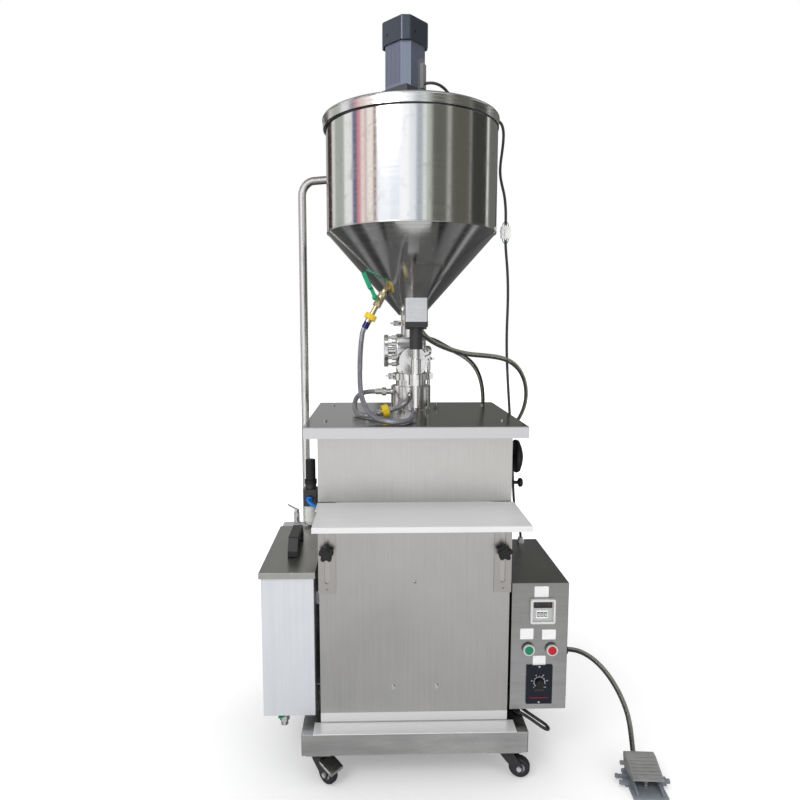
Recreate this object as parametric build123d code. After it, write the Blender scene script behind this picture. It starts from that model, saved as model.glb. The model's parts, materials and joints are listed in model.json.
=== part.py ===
from build123d import *
import os
import math

os.makedirs("parts", exist_ok=True)

# ---------------------------------------------------------------------------
# Heated piston filling machine on castors. Millimetres, +Z up.
# The machine is drawn round its own cabinet: x = 0 on the cabinet's centre
# line, y = 0 on the cabinet's front face, z = 0 on the floor. Every piece is
# then shifted by (-ORIGIN_X, -ORIGIN_Y, 0), so that the frame's origin is the
# middle of the machine's footprint.
# ---------------------------------------------------------------------------
ORIGIN_X = 116.033
ORIGIN_Y = 166.5

# driving dimensions
SHEET = 1.5                     # cabinet sheet
CAB_HW, CAB_D = 225.0, 400.0    # cabinet half width, depth
TRAY_X, TRAY_Y0, TRAY_Y1 = 267.5, -45.0, 445.0
TRAY_Z0, TRAY_Z1 = 75.0, 128.0
PLATE_X, PLATE_Y0, PLATE_Y1 = 255.0, -30.0, 430.0
PLATE_TOP, PLATE_SKIRT = 854.0, 27.0
COL_X, COL_Y = 5.0, 290.0       # axis of cylinder, valve, hopper and agitator
HOP_R, HOP_IN = 224.0, 206.0    # hopper jacket and bowl radii
HOP_Z0, HOP_Z1 = 1322.0, 1604.0 # cone top, rim
LID_R, LID_Z0, LID_Z1 = 229.0, 1584.0, 1609.0
BORE_R = 37.5                   # product cylinder bore
STROKE = 150.0
WHEEL_R, WHEEL_W = 25.0, 20.0
TANK_X0, TANK_X1, TANK_D = -362.0, -238.0, 390.0
TANK_Z0, TANK_Z1 = 148.0, 504.2
BOX_X0, BOX_X1, BOX_Y0, BOX_Y1 = 232.0, 369.0, 5.0, 315.0
BOX_Z0, BOX_Z1 = 153.0, 471.0
SHELF_X0, SHELF_X1, SHELF_Y0, SHELF_Z = -222.0, 230.0, -186.0, 673.0
NOZ_X, NOZ_Y = 5.0, 75.0
SLOT_Z0, SLOT_Z1, STUD_Z = 477.0, 620.0, 556.0

parts = {}


def add(name, *solids):
    out = []
    for s in solids:
        out += list(s.solids())
    if name in parts:
        out = parts[name] + out
    parts[name] = out


def bx(x0, x1, y0, y1, z0, z1):
    return Pos((x0 + x1) / 2, (y0 + y1) / 2, (z0 + z1) / 2) * Box(abs(x1 - x0), abs(y1 - y0), abs(z1 - z0))


def cz(x, y, z0, z1, r):
    return Pos(x, y, (z0 + z1) / 2) * Cylinder(r, z1 - z0)


def cyx(x0, x1, y, z, r):
    return Pos((x0 + x1) / 2, y, z) * Rot(0, 90, 0) * Cylinder(r, abs(x1 - x0))


def cyy(x, y0, y1, z, r):
    return Pos(x, (y0 + y1) / 2, z) * Rot(90, 0, 0) * Cylinder(r, y1 - y0)


def hexz(x, y, z0, z1, af, rot=0):
    return Pos(x, y, z0) * Rot(0, 0, rot) * extrude(RegularPolygon(af / 2, 6, major_radius=False), z1 - z0)


def rev(pts, x=0, y=0):
    """closed profile of (r, z) points turned about the vertical axis at x, y"""
    w = Polyline(*[(p[0], 0, p[1]) for p in pts], close=True)
    return Pos(x, y, 0) * revolve(make_face(w), Axis.Z)


def rod(p, q, r):
    p, q = Vector(*p), Vector(*q)
    d = q - p
    return Plane(origin=p + d * 0.5, z_dir=d.normalized()) * Cylinder(r, d.length)


def along(p, q, r0, r1):
    p, q = Vector(*p), Vector(*q)
    d = q - p
    return Plane(origin=p + d * 0.5, z_dir=d.normalized()) * Cone(r0, r1, d.length)


def hexrod(p, q, af):
    p, q = Vector(*p), Vector(*q)
    d = q - p
    return Plane(origin=p, z_dir=d.normalized()) * extrude(RegularPolygon(af / 2, 6, major_radius=False), d.length)


def radii(pts):
    v = [Vector(*p) for p in pts]
    out = []
    for a, b, c in zip(v, v[1:], v[2:]):
        turn = math.radians((b - a).get_angle(c - b))
        out.append(0.45 * min((b - a).length, (c - b).length) / math.tan(turn / 2))
    return out


def tube(name, pts, section, d):
    """a free hose or lead: straight runs joined by tangent arcs"""
    rr = radii(pts)
    path = FilletPolyline(*pts, radius=rr)
    start = Plane(origin=path @ 0, z_dir=path % 0)
    if callable(section):
        face = section(start)
    else:
        face = start * Circle(section)
    s = sweep(face, path=path)
    L = path.length
    print(f"{name}: length {L:.0f} mm, {len(pts)} points, radii / diameter {min(rr)/d:.1f} to {max(rr)/d:.1f}, volume ratio {s.volume/(face.area*L):.4f}")
    print("   radii", [round(r) for r in rr])
    return s


# ---------------------------------------------------------------- base tray
tray = bx(-TRAY_X, TRAY_X, TRAY_Y0, TRAY_Y1, TRAY_Z0, TRAY_Z1)
tray = chamfer(tray.edges().filter_by(Axis.Z), 2)
tray = fillet(tray.faces().sort_by(Axis.Z)[-1].edges(), 1.6)
tray -= bx(-TRAY_X + 2, TRAY_X - 2, TRAY_Y0 + 2, TRAY_Y1 - 2, TRAY_Z0 - 1, TRAY_Z1 - 2)
CASTORS = {"front_left": (-229, -14, -41.0), "front_right": (224, -14, -16.0),
           "rear_left": (-224, 414, 118.0), "rear_right": (224, 414, 62.0)}
for cx0, cy0, _ in CASTORS.values():
    sx = 1 if cx0 > 0 else -1
    sy = 1 if cy0 > 0 else -1
    x0, x1 = sorted((cx0 - sx * 34, sx * (TRAY_X - 2)))
    y0, y1 = sorted((cy0 - sy * 34, (TRAY_Y1 - 2) if sy > 0 else (TRAY_Y0 + 2)))
    tray += bx(x0, x1, y0, y1, TRAY_Z0, TRAY_Z0 + 3)          # gusset the castor bolts to
    tray += bx(cx0 - 29, cx0 + 29, cy0 - 29, cy0 + 29, 72, 75)  # castor top plate
    tray += cz(cx0, cy0, 58, 72, 4) + cz(cx0, cy0, 57.5, 60, 6)  # king pin and rivet head
add("base_tray", tray)


# ------------------------------------------------------------------ castors
def castor(name, x, y, ang):
    """fork trails along its own +x; placed at the swivel axis, turned by ang"""
    place = Pos(x, y, 0) * Rot(0, 0, ang)
    prof = [(-22, 0, 66), (12, 0, 66), (24, 0, 52), (39, 0, 33), (38.5, 0, 19), (33, 0, 14.5), (24, 0, 16), (-6, 0, 46)]
    cheek = extrude(make_face(Polyline(*prof, close=True)), 2)
    cheek = Pos(0, -cheek.bounding_box().min.Y, 0) * cheek
    fork = Pos(0, 12, 0) * cheek + Pos(0, -14, 0) * cheek
    fork += bx(-22, 12, -14, 14, 61, 66)
    fork += cz(0, 0, 66, 71.7, 19)
    fork += cz(0, 0, 64, 66.5, 24)
    fork -= cz(0, 0, 50, 80, 4.06)
    fork += cyy(30, -16.2, 16.2, WHEEL_R, 3)
    for s in (1, -1):
        fork += Pos(30, s * 15.2, WHEEL_R) * Rot(90, 0, 0) * Cylinder(5.4, 2.4)
    wheel = Polyline((3.07, 0, -10), (7, 0, -10), (7.5, 0, -7.5), (13, 0, -7.5), (13.5, 0, -9.5), (18.5, 0, -10), (23, 0, -9), (25, 0, -5.5),
                     (25, 0, 5.5), (23, 0, 9), (18.5, 0, 10), (13.5, 0, 9.5), (13, 0, 7.5), (7.5, 0, 7.5), (7, 0, 10), (3.07, 0, 10), close=True)
    wheel = Pos(30, 0, WHEEL_R) * Rot(90, 0, 0) * revolve(make_face(wheel), Axis.Z)
    if name == "front_left":
        # foot brake: a folded plate on a cross pin over the wheel
        fork += cyy(14, -14, 14, 57, 2)
        side = Polyline((10.5, 0, 54.6), (10.5, 0, 59.5), (17, 0, 59.6), (20, 0, 60.3), (60, 0, 44.6), (60.5, 0, 38.5), (58.7, 0, 38.5), (58.2, 0, 43.2), (20, 0, 58.0), (16, 0, 54.6), close=True)
        pedal = extrude(make_face(side), 23)
        pedal = Pos(0, -pedal.bounding_box().center().Y, 0) * pedal
        wing = Polyline((20, 0, 58.0), (20, 0, 60.3), (60, 0, 44.6), (60.5, 0, 38.5), (58.7, 0, 38.5), (58.2, 0, 43.2), close=True)
        wing = extrude(make_face(wing), 40)
        wing = Pos(0, -wing.bounding_box().center().Y, 0) * wing
        pedal = pedal + wing
        for s in (19, -20.8):
            lip = Polyline((22, 0, 58.6), (58, 0, 44.4), (58, 0, 39.5), (40, 0, 47), (22, 0, 55.5), close=True)
            lip = extrude(make_face(lip), 1.8)
            lip = Pos(0, s - lip.bounding_box().min.Y, 0) * lip
            pedal += lip
        pedal -= cyy(14, -14, 14, 57, 2.07)
        add("castor_brake_front_left", place * pedal)
    add("castor_fork_" + name, place * fork)
    add("castor_wheel_" + name, place * wheel)


for n, (x, y, a) in CASTORS.items():
    castor(n, x, y, a)

# ------------------------------------------------------------------ cabinet
Z0, Z1 = TRAY_Z1, PLATE_TOP - 2.0
shell = bx(-CAB_HW, CAB_HW, SHEET, CAB_D, Z0, Z1) - bx(-CAB_HW + SHEET, CAB_HW - SHEET, -5, CAB_D - SHEET, Z0 - 1, Z1 + 1)
shell += bx(-CAB_HW, CAB_HW, SHEET, 25, Z0, Z0 + SHEET) + bx(-CAB_HW, CAB_HW, CAB_D - 25, CAB_D, Z0, Z0 + SHEET)
shell += bx(-CAB_HW, CAB_HW, SHEET, 25, Z1 - SHEET, Z1) + bx(-CAB_HW, CAB_HW, CAB_D - 25, CAB_D, Z1 - SHEET, Z1)
shell += bx(-CAB_HW + SHEET, CAB_HW - SHEET, SHEET, 22, 658, 660) + bx(-CAB_HW + SHEET, CAB_HW - SHEET, SHEET, 22, 673, 675)
shell += bx(-CAB_HW + SHEET, CAB_HW - SHEET, 20, 22, 660, 673)
shell -= cyx(220, 230, 62, 767, 6.5) + cyx(220, 230, 62, 702, 4.6)            # stroke wheel and lock stems
shell -= cyx(220, 230, 277, 777, 8) + cyx(220, 230, 300, 146.5, 4.5)           # air tubes, mains lead
shell -= cyy(204, 395, 405, 772, 8)
add("cabinet_shell", shell)
upper = bx(-CAB_HW, CAB_HW, 0, SHEET, 673.5, Z1)
lower = bx(-CAB_HW, CAB_HW, 0, SHEET, Z0 + 0.5, 660)
for hx, hz, hr in ((0.5, 479, 3.0), (-51, 217, 2.6), (53, 218, 2.6), (-206, STUD_Z, 4.0), (207.5, STUD_Z, 4.0)):
    lower -= cyy(hx, -2, 4, hz, hr)
add("cabinet_shell", upper, lower)

# ---------------------------------------------------------------- top plate
plate = bx(-PLATE_X, PLATE_X, PLATE_Y0, PLATE_Y1, PLATE_TOP - PLATE_SKIRT, PLATE_TOP)
plate = fillet(plate.faces().sort_by(Axis.Z)[-1].edges() + plate.edges().filter_by(Axis.Z), 1.4)
plate -= bx(-PLATE_X + 2, PLATE_X - 2, PLATE_Y0 + 2, PLATE_Y1 - 2, PLATE_TOP - PLATE_SKIRT - 1, PLATE_TOP - 2)
plate -= cz(COL_X, COL_Y, 840, 860, 54.15)
plate -= cz(58, 343, 840, 860, 5.5)          # valve push rod
STUDS = [(COL_X + 71 * math.cos(math.radians(a)), COL_Y + 71 * math.sin(math.radians(a))) for a in (-118, -58, 2, 62, 122, 182)]
SCREWS = [(-212, 60), (212, 60), (-212, 352), (212, 352)]
for sx, sy in STUDS:
    plate -= cz(sx, sy, 840, 860, 4)
for sx, sy in SCREWS:
    plate -= cz(sx, sy, 840, 860, 3)
add("top_plate", plate)

# ------------------------------------------------------- product cylinder
C = (COL_X, COL_Y)
cyl = rev([(BORE_R, 690), (41.5, 690), (41.5, 786), (54, 786), (54, 842), (83, 842), (83, 852), (54, 852), (54, 916.5), (51.5, 919), (41, 919), (41, 937), (45.5, 938), (45.5, 943),
           (BORE_R, 943)], *C)
gap = rev([(43.5, 792), (51.5, 792), (51.5, 913), (43.5, 913)], *C)
cyl -= gap
cyl -= rev([(0, 680), (BORE_R, 680), (BORE_R, 950), (0, 950)], *C)
for sx, sy in STUDS:
    cyl -= cz(sx, sy, 835, 860, 4)
cyl -= cz(58, 343, 835, 860, 5.5)
ports = cyy(8, 226, 240, 890, 8) - cyy(8, 220, 246, 890, 4.5)                 # front water port
cyl += ports - cz(*C, 860, 918, 53)
port2 = cyx(-62, -46, COL_Y, 901, 8) - cyx(-66, -40, COL_Y, 901, 4.5)         # left water port
cyl += port2 - cz(*C, 860, 918, 53)
add("material_cylinder", cyl)

# piston, rod and drive piston move as one
pist = rev([(0, 452), (31.43, 452), (31.43, 476), (10, 476), (10, 866), (14, 870), (37.44, 870), (37.44, 900), (33, 904), (0, 904)], *C)
add("piston", pist)

# air cylinder that drives it, hung from the product cylinder on four rods
drive = rev([(31.5, 258), (31.5, 520), (35, 520), (35, 258)], *C)
head = bx(COL_X - 40, COL_X + 40, COL_Y - 40, COL_Y + 40, 520, 548) - cz(*C, 510, 560, 10.06)
foot = bx(COL_X - 40, COL_X + 40, COL_Y - 40, COL_Y + 40, 232, 258)
posts = [cz(COL_X + 68 * math.cos(math.radians(a)), COL_Y + 68 * math.sin(math.radians(a)), 556, 842, 6) for a in (20, 110, 200, 290)]
flange = cz(*C, 548, 556, 78) - cz(*C, 540, 560, 10.06)
ties = [cz(COL_X + a * 33, COL_Y + b * 33, 258, 520, 3.5) for a in (1, -1) for b in (1, -1)]
add("drive_cylinder", drive + head + foot + flange, *posts, *ties)

# ------------------------------------------------------- three-way valve
VZ = 1012.0
val = cyx(-36, 40, COL_Y, VZ, 46)
val = fillet(val.edges().filter_by(GeomType.CIRCLE), 3)
val += cz(*C, 943.4, 985, 40) + cz(*C, 943.4, 949, 45.5)
val += cz(*C, 1040, 1086, 27) + cz(*C, 1080.6, 1086, 32)
val += cyy(7, 211.4, 262, 987, 24) + cyy(7, 211.4, 217, 987, 32)
val += cyx(40, 44, COL_Y, VZ, 30)
val += bx(28, 36, 322, 374, 1036, 1042) + bx(28, 44, 360, 374, 1036, 1052) + cyx(44, 50, 367, 1044, 6.5)   # air fitting on a bracket
val -= cyx(-60, 40.5, COL_Y, VZ, 34.06) + cyx(-60, 60, COL_Y, VZ, 9.06)
val -= cz(*C, 930, 1100, 23) - cz(*C, 1000, 1030, 23)
val -= cz(*C, 930, 985, 30)
val -= cyy(7, 200, 270, 987, 19)
add("valve_body", val)
# end flange on sprung studs
endf = cyx(-68, -57, COL_Y, 1012, 43.5)
endf = chamfer(endf.edges().filter_by(GeomType.CIRCLE), 1.5)
endf += cyx(-57, -37.4, COL_Y, VZ, 10)
studs = []
for k in range(6):
    a = math.radians(30 + 60 * k)
    yy, zz = COL_Y + 36 * math.cos(a), VZ + 36 * math.sin(a)
    studs.append(cyx(-57, -36, yy, zz, 3.4) + cyx(-47, -36, yy, zz, 5.6))
add("valve_body", endf, *studs)
# rotor: a drum with a channel, stem out to the right, lever to the rear
rot = cyx(-35.8, 39.8, COL_Y, VZ, 34) + cyx(39, 60, COL_Y, VZ, 9)
rot -= bx(-16, 26, COL_Y - 17, COL_Y + 17, VZ - 40, VZ + 40)
rot -= bx(-12, 26, COL_Y - 40, COL_Y + 0, VZ - 40, VZ - 12)
lever = bx(46, 53, COL_Y, COL_Y + 53, VZ - 8, VZ + 8) + cyx(45, 54.5, COL_Y, VZ, 14) + cyx(46, 53, COL_Y + 53, VZ, 8)
rot += lever + cyx(53, 66, COL_Y + 53, VZ, 3)
add("valve_rotor", rot)
# push rod with a slotted head that the lever's pin runs in
yoke = bx(55, 61, COL_Y + 53 - 24, COL_Y + 53 + 11, VZ - 11, VZ + 11)
yoke = fillet(yoke.edges().filter_by(Axis.X), 6)
yoke -= bx(50, 65, COL_Y + 53 - 19.5, COL_Y + 53 + 5.5, VZ - 5.0, VZ + 5.0)
yoke += cz(58, COL_Y + 53, 800, VZ - 11, 5)
add("valve_push_rod", yoke)

# ------------------------------------------------------------- tri-clamps
def clamp(r, w, t):
    """split ring on its own z axis, two lugs along x, bolt and wing nut at -x"""
    g = rev([(r + 0.1, -w / 2), (r + t, -w / 2), (r + t, w / 2), (r + 0.1, w / 2)])
    g -= bx(-r - 30, -r + 4, -2, 2, -w, w)
    for s in (1, -1):
        g += bx(-r - t - 9, -r - 2, s * 2, s * 8, -w / 2, w / 2)
    g += bx(r + t - 2, r + t + 9, -8, 8, -w / 2, w / 2)
    g -= Pos(0, 0, 0) * cz(0, 0, -w, w, r + 0.1)
    eye = cyy(-r - t - 4.5, -17, 12, 0, 2.6) + cyy(-r - t - 4.5, 8, 15, 0, 6)
    eye += bx(-r - t - 16, -r - t + 7, 13, 17, -2.2, 2.2)
    eye += cyy(-r - t - 4.5, -14, -8, 0, 5)
    return g, eye


tri = []
g, e = clamp(45.6, 17, 6)
P = Pos(COL_X, COL_Y, 943.2) * Rot(0, 0, 8)
tri += [P * g, P * e]
g, e = clamp(32.1, 14, 5)
P = Pos(COL_X, COL_Y, 1086.3) * Rot(0, 0, 12)
tri += [P * g, P * e]
g, e = clamp(32.1, 14, 5)
P = Pos(7, 211.2, 987) * Rot(90, 0, 0) * Rot(0, 0, 205)
tri += [P * g, P * e]
add("tri_clamps", *tri)

# ----------------------------------------------------------------- nozzle
nb = rev([(6, 876), (7, 876), (8.5, 884), (8.5, 937), (17, 938), (17, 964), (12, 965), (12, 1000), (9, 1001), (9, 1024), (4.06, 1024), (4.06, 1006), (6, 1004)], NOZ_X, NOZ_Y)
hp = Plane(origin=(NOZ_X, NOZ_Y + 6, 984), x_dir=(0, 0, 1), z_dir=Vector(2, 124.8, 3).normalized())
horiz = rod((NOZ_X, NOZ_Y + 8, 984), (7, 206, 987), 12.5) + cyy(7, 205.6, 211, 987, 32)
nb += horiz - cz(NOZ_X, NOZ_Y, 800, 1100, 11.9)
nb -= rod((NOZ_X, NOZ_Y, 984), (7, 206.2, 987), 5.6) + cyy(7, 150, 212, 987, 10)
nb += rod((3.4, 83.4, 935.4), (-4.9, 99.3, 914.3), 6) - cz(NOZ_X, NOZ_Y, 800, 1100, 8.4)   # heating port
add("nozzle_body", nb)
ndl = rev([(0, 878), (3.2, 878), (5.9, 890), (4, 896), (4, 1101), (19.95, 1101), (19.95, 1109), (0, 1109)], NOZ_X, NOZ_Y)
add("nozzle_needle", ndl)
bon = bx(NOZ_X - 26, NOZ_X + 26, NOZ_Y - 26, NOZ_Y + 26, 1076, 1089)
bon = chamfer(bon.edges().filter_by(Axis.Z), 4) + cz(NOZ_X, NOZ_Y, 1024, 1076, 15.5)
bon -= cz(NOZ_X, NOZ_Y, 1000, 1100, 4.06)
scr = [hexz(NOZ_X + a * 19, NOZ_Y + b * 19, 1071, 1076, 8) for a in (1, -1) for b in (1, -1)]
act = bx(NOZ_X - 26, NOZ_X + 26, NOZ_Y - 26, NOZ_Y + 26, 1089, 1144)
act = fillet(act.edges().filter_by(Axis.Z), 3)
for a in (1, -1):
    act -= bx(NOZ_X + a * 12 - 2, NOZ_X + a * 12 + 2, NOZ_Y - 30, NOZ_Y - 24.4, 1080, 1150)
    act -= bx(NOZ_X + a * 28 - 3.6, NOZ_X + a * 28 + 3.6, NOZ_Y - 4, NOZ_Y + 4, 1080, 1150)
act -= cz(NOZ_X, NOZ_Y, 1094, 1138, 20) + cz(NOZ_X, NOZ_Y, 1085, 1100, 4.06)
# two elbow fittings on the back for the air tubes
fit = []
for fx, fz in ((NOZ_X + 9, 1101),):
    fit.append(bx(fx - 8, fx + 8, NOZ_Y + 26, NOZ_Y + 40, fz - 7, fz + 9) + cz(fx, NOZ_Y + 34, fz - 12, fz - 7, 6.5))
add("nozzle_actuator", act + fit[0], bon, *scr)

# ----------------------------------------------------------------- hopper
bowl = rev([(24, 1086.6), (32, 1086.6), (32, 1092), (27, 1092), (27, 1112), (30, 1115), (HOP_IN + 1.5, 1330), (HOP_IN + 1.5, HOP_Z1 - 2), (HOP_R - 1.5, HOP_Z1 - 2), (HOP_R - 1.5, HOP_Z1),
            (HOP_IN, HOP_Z1), (HOP_IN, 1331), (24, 1112)], COL_X, COL_Y)
jack = rev([(30.2, 1108), (33, 1108), (HOP_R, HOP_Z0), (HOP_R, HOP_Z1), (HOP_R - 1.5, HOP_Z1), (HOP_R - 1.5, HOP_Z0 + 1), (31.5, 1109.6), (30.2, 1109.6)], COL_X, COL_Y)
bowl += rev([(27, 1107.8), (30.1, 1107.8), (30.1, 1109.6), (27, 1109.6)], COL_X, COL_Y)
add("hopper", bowl, jack)
HX = 2.0
lid = rev([(0, LID_Z1 - 2), (LID_R - 1.6, LID_Z1 - 2), (LID_R - 1.6, LID_Z0), (LID_R, LID_Z0), (LID_R, LID_Z1 - 1.2), (LID_R - 1.2, LID_Z1), (0, LID_Z1)], HX, COL_Y)
MX, MY = -13.0, 290.0
lid += Pos(MX, MY, 1611.5) * Rot(0, 0, 45) * Box(120, 120, 5)
lid -= cz(COL_X, COL_Y, 1600, 1620, 10.1)
lid -= bx(-80, 90, 386, 476, 1600, 1620)                     # filling hatch
lid += bx(-70, -50, 362, 374, LID_Z1, 1617) + bx(60, 80, 362, 374, LID_Z1, 1617)
lid -= cyx(-75, 85, 368, 1614, 2.07) + bx(-75, 85, 374, 376, LID_Z1 + 0.1, 1620)
add("hopper_lid", lid)
hat = bx(-90, 100, 377, 486, LID_Z1 + 0.4, LID_Z1 + 2.4)
hat = fillet(hat.edges().filter_by(Axis.Z), 8)
hat += bx(-48, -28, 370, 379, LID_Z1 + 0.4, LID_Z1 + 2.4) + bx(38, 58, 370, 379, LID_Z1 + 0.4, LID_Z1 + 2.4)
hat += cyx(-72, -28, 368, 1614, 2) + cyx(38, 82, 368, 1614, 2)
hat += cyx(-48, -28, 368, 1614, 4.4) + cyx(38, 58, 368, 1614, 4.4)
hat += cz(-32, 466, LID_Z1 + 2.4, LID_Z1 + 20, 4) + cz(42, 466, LID_Z1 + 2.4, LID_Z1 + 20, 4) + cyx(-36, 46, 466, LID_Z1 + 22, 5)
add("lid_hatch", hat)

# gear motor on the lid: gearhead, finned body, fan cover
def motor_sec(side, ch):
    return Rot(0, 0, 45) * make_face(Polyline(
        *[(p[0], p[1], 0) for p in ((-side / 2 + ch, -side / 2), (side / 2 - ch, -side / 2), (side / 2, -side / 2 + ch), (side / 2, side / 2 - ch),
                                    (side / 2 - ch, side / 2), (-side / 2 + ch, side / 2), (-side / 2, side / 2 - ch), (-side / 2, -side / 2 + ch))], close=True))


gh = Pos(MX, MY, 1614) * extrude(motor_sec(90, 3), 70)
gh -= cz(COL_X, COL_Y, 1600, 1650, 8.06)
mb = Pos(MX, MY, 1684) * extrude(motor_sec(90, 18), 107.5)
cut = None
for k in range(-6, 7):
    if abs(k) > 5:
        continue
    for rot_ in (45, 135, 225, 315):
        c = Pos(MX, MY, 0) * Rot(0, 0, rot_) * Pos(45.6, k * 4.6, 1740) * Box(3.0, 2.1, 96)
        cut = c if cut is None else cut + c
for rot_ in (0, 90, 180, 270):
    for k in (-2, -1, 0, 1, 2):
        c = Pos(MX, MY, 0) * Rot(0, 0, rot_) * Pos(50.9, k * 4.2, 1740) * Box(2.6, 1.9, 96)
        cut = c if cut is None else cut + c
mb -= cut
cov = Pos(MX, MY, 1791.5) * extrude(motor_sec(100, 17), 58.5)
cov = fillet(cov.edges().filter_by(Axis.Z), 9)
cov = fillet(cov.faces().sort_by(Axis.Z)[-1].edges(), 4)
cov -= Pos(MX, MY, 1785.5) * extrude(motor_sec(95, 16.5), 12)
plug = Pos(MX, MY, 1791.5) * extrude(motor_sec(88, 18), 6)
for rot_ in (22, 112, 202, 292):
    cov -= Pos(MX, MY, 1813) * Rot(0, 0, rot_ + 23) * Pos(51, -16, 0) * Rot(0, 90, 0) * Cylinder(3.0, 6)
term = Pos(MX, MY, 0) * Rot(0, 0, -27) * bx(44.5, 54, -6, 14, 1686, 1746)
term -= mb
add("gearmotor", gh, mb + plug, cov, term)

# agitator: shaft with a coupling sleeve, two paddles near the bowl's walls
sh = cz(*C, 1180, 1640, 8) + cz(*C, 1560, 1590, 14)
sh += bx(COL_X - 190, COL_X + 190, COL_Y - 5, COL_Y + 5, 1360, 1376)
for s in (1, -1):
    sh += Pos(COL_X + s * 187, COL_Y, 1435) * Box(6, 26, 150)
arm = Polyline((COL_X - 186, COL_Y, 1362), (COL_X - 176, COL_Y, 1362), (COL_X - 8, COL_Y, 1188), (COL_X + 8, COL_Y, 1188), (COL_X + 176, COL_Y, 1362), (COL_X + 186, COL_Y, 1362),
               (COL_X + 62, COL_Y, 1222), (COL_X + 14, COL_Y, 1172), (COL_X - 14, COL_Y, 1172), (COL_X - 62, COL_Y, 1222), close=True)
arm = extrude(make_face(arm), 6)
arm = Pos(0, COL_Y - arm.bounding_box().center().Y, 0) * arm
add("agitator", sh + arm)

# ------------------------------------- riser pipe, hopper to tank, and cock
RX, RY = -297.0, 406.0
wall = (COL_X - 223.9 * 0.934, COL_Y + 223.9 * 0.357, 1481)
rp = FilletPolyline(wall, (RX, RY, 1481), (RX, RY, 180), (RX, TANK_D + 0.2, 180), radius=[38, 14])
riser = sweep(Plane(origin=rp @ 0, z_dir=rp % 0) * (Circle(11) - Circle(9.5)), path=rp)
riser -= cz(COL_X - 1, COL_Y, 1400, 1600, HOP_R + 0.05)
add("tank_pipework", riser)

# ball valve under the hopper's cone, nipple, nut and hose fitting
VA = Vector(-69, 240, 1166)
VB = Vector(-122, 229, 1070)
vd = (VB - VA).normalized()


def on(t):
    p = VA + vd * t
    return (p.X, p.Y, p.Z)


jv = hexrod(on(2), on(12), 19) + rod(on(12), on(32), 10.5) + hexrod(on(32), on(42), 19)
stem_dir = Vector(-0.45, -0.87, 0.2).normalized()
sc = Vector(*on(22))
jv += rod(on(22), tuple(sc + stem_dir * 26), 6)
jv += rod(on(42), on(66), 6.5) - rod(on(40), on(68), 3.5)
cone_cut = rev([(0, 1090), (20, 1090), (33.2, 1108), (HOP_R + 0.2, HOP_Z0), (0, HOP_Z0)], COL_X, COL_Y)
jv += rod(on(-6), on(3), 8)
jv -= cone_cut
nut1 = hexrod(on(66), on(80), 30) - rod(on(64), on(82), 6.6)
nut1 = nut1 & rod(on(66), on(80), 15.8)
nut1 += rod(on(66), on(72), 6.5)
fer1 = rod(on(80), on(106), 8.6)
# union lying on the plate between the two short hoses
UD = Vector(0.94, 0.20, 0.24).normalized()
UC = Vector(-68, 106, 871.3)


def un(t):
    p = UC + UD * t
    return (p.X, p.Y, p.Z)


nut2 = (hexrod(un(-8), un(8), 30) & rod(un(-8), un(8), 15.6)) - rod(un(-9), un(0), 6.5) - rod(un(3), un(9), 11.5)
fer2 = rod(un(3.05), un(18), 7.8)
fer3 = rod(un(-22), un(-8.05), 8.4)
# fittings on the product cylinder's water ports and the nozzle port
fl = hexrod((-62.1, COL_Y, 901), (-74, COL_Y, 901), 20) + cyx(-92, -74, COL_Y, 901, 8.4)
ff = hexrod((8, 225.9, 890), (8, 214, 890), 20) + cyy(8, 196, 214, 890, 8.4)
fn = rod((-5.0, 99.5, 914.0), (-7.7, 104.7, 907.1), 8)
add("jacket_valve_and_fittings", jv, nut1, fer1, nut2, fer2, fer3, fl, ff, fn)
# lever on the ball valve's stem
hs = sc + stem_dir * 26.3
hd = Vector(-0.53, -0.06, 0.85)
hd = (hd - stem_dir * hd.dot(stem_dir)).normalized()
lpl = Plane(origin=hs, x_dir=hd, z_dir=stem_dir)
lv = lpl * (Pos(0, 0, 1.1) * Cylinder(8, 2.2) + Pos(14, 0, 1.1) * Box(28, 10, 2.2))
lv += lpl * (Pos(28, 0, 4.1) * Box(4, 10, 8) + Pos(50, 0, 7.0) * Box(48, 12, 3.2))
lv += lpl * (Pos(0, 0, 2.2) * extrude(RegularPolygon(5, 6, major_radius=False), 4.5))
add("jacket_valve_lever", lv)

# ------------------------------------------------------------------- tank
tk = bx(TANK_X0, TANK_X1, 0, TANK_D, TANK_Z0, TANK_Z1)
tk = fillet(tk.edges().filter_by(Axis.Z), 1.4)
tk -= bx(TANK_X0 + SHEET, TANK_X1 - SHEET, SHEET, 344, TANK_Z0 + SHEET, TANK_Z1 + 1)
tk -= bx(TANK_X0 + SHEET, TANK_X1 - SHEET, 340, TANK_D - SHEET, TANK_Z0 + SHEET, TANK_Z1 - 2)
tk += bx(TANK_X1, -225, 60, 90, 430, 433) + bx(TANK_X1, -225, 60, 63, 400, 430) + bx(TANK_X1, -225, 300, 330, 430, 433) + bx(TANK_X1, -225, 300, 303, 400, 430)
tk += bx(TANK_X1, -225, 60, 90, 190, 193) + bx(TANK_X1, -225, 300, 330, 190, 193)
add("tank_body", tk)
tl = bx(TANK_X0 - 4.5, TANK_X1 + 4.5, -5, 345, 491, 506)
tl = fillet(tl.faces().sort_by(Axis.Z)[-1].edges() + tl.edges().filter_by(Axis.Z), 1.2)
tl -= bx(TANK_X0 - 3, TANK_X1 + 3, -3.5, 346, 490, 504.5)
add("tank_lid", tl)
HDX = -299.0
hl = Polyline((HDX, 92, 506), (HDX, 92, 522), (HDX, 112, 552), (HDX, 212, 552), (HDX, 232, 522), (HDX, 232, 506), (HDX, 216, 506), (HDX, 216, 518), (HDX, 204, 538),
              (HDX, 120, 538), (HDX, 108, 518), (HDX, 108, 506), close=True)
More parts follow.
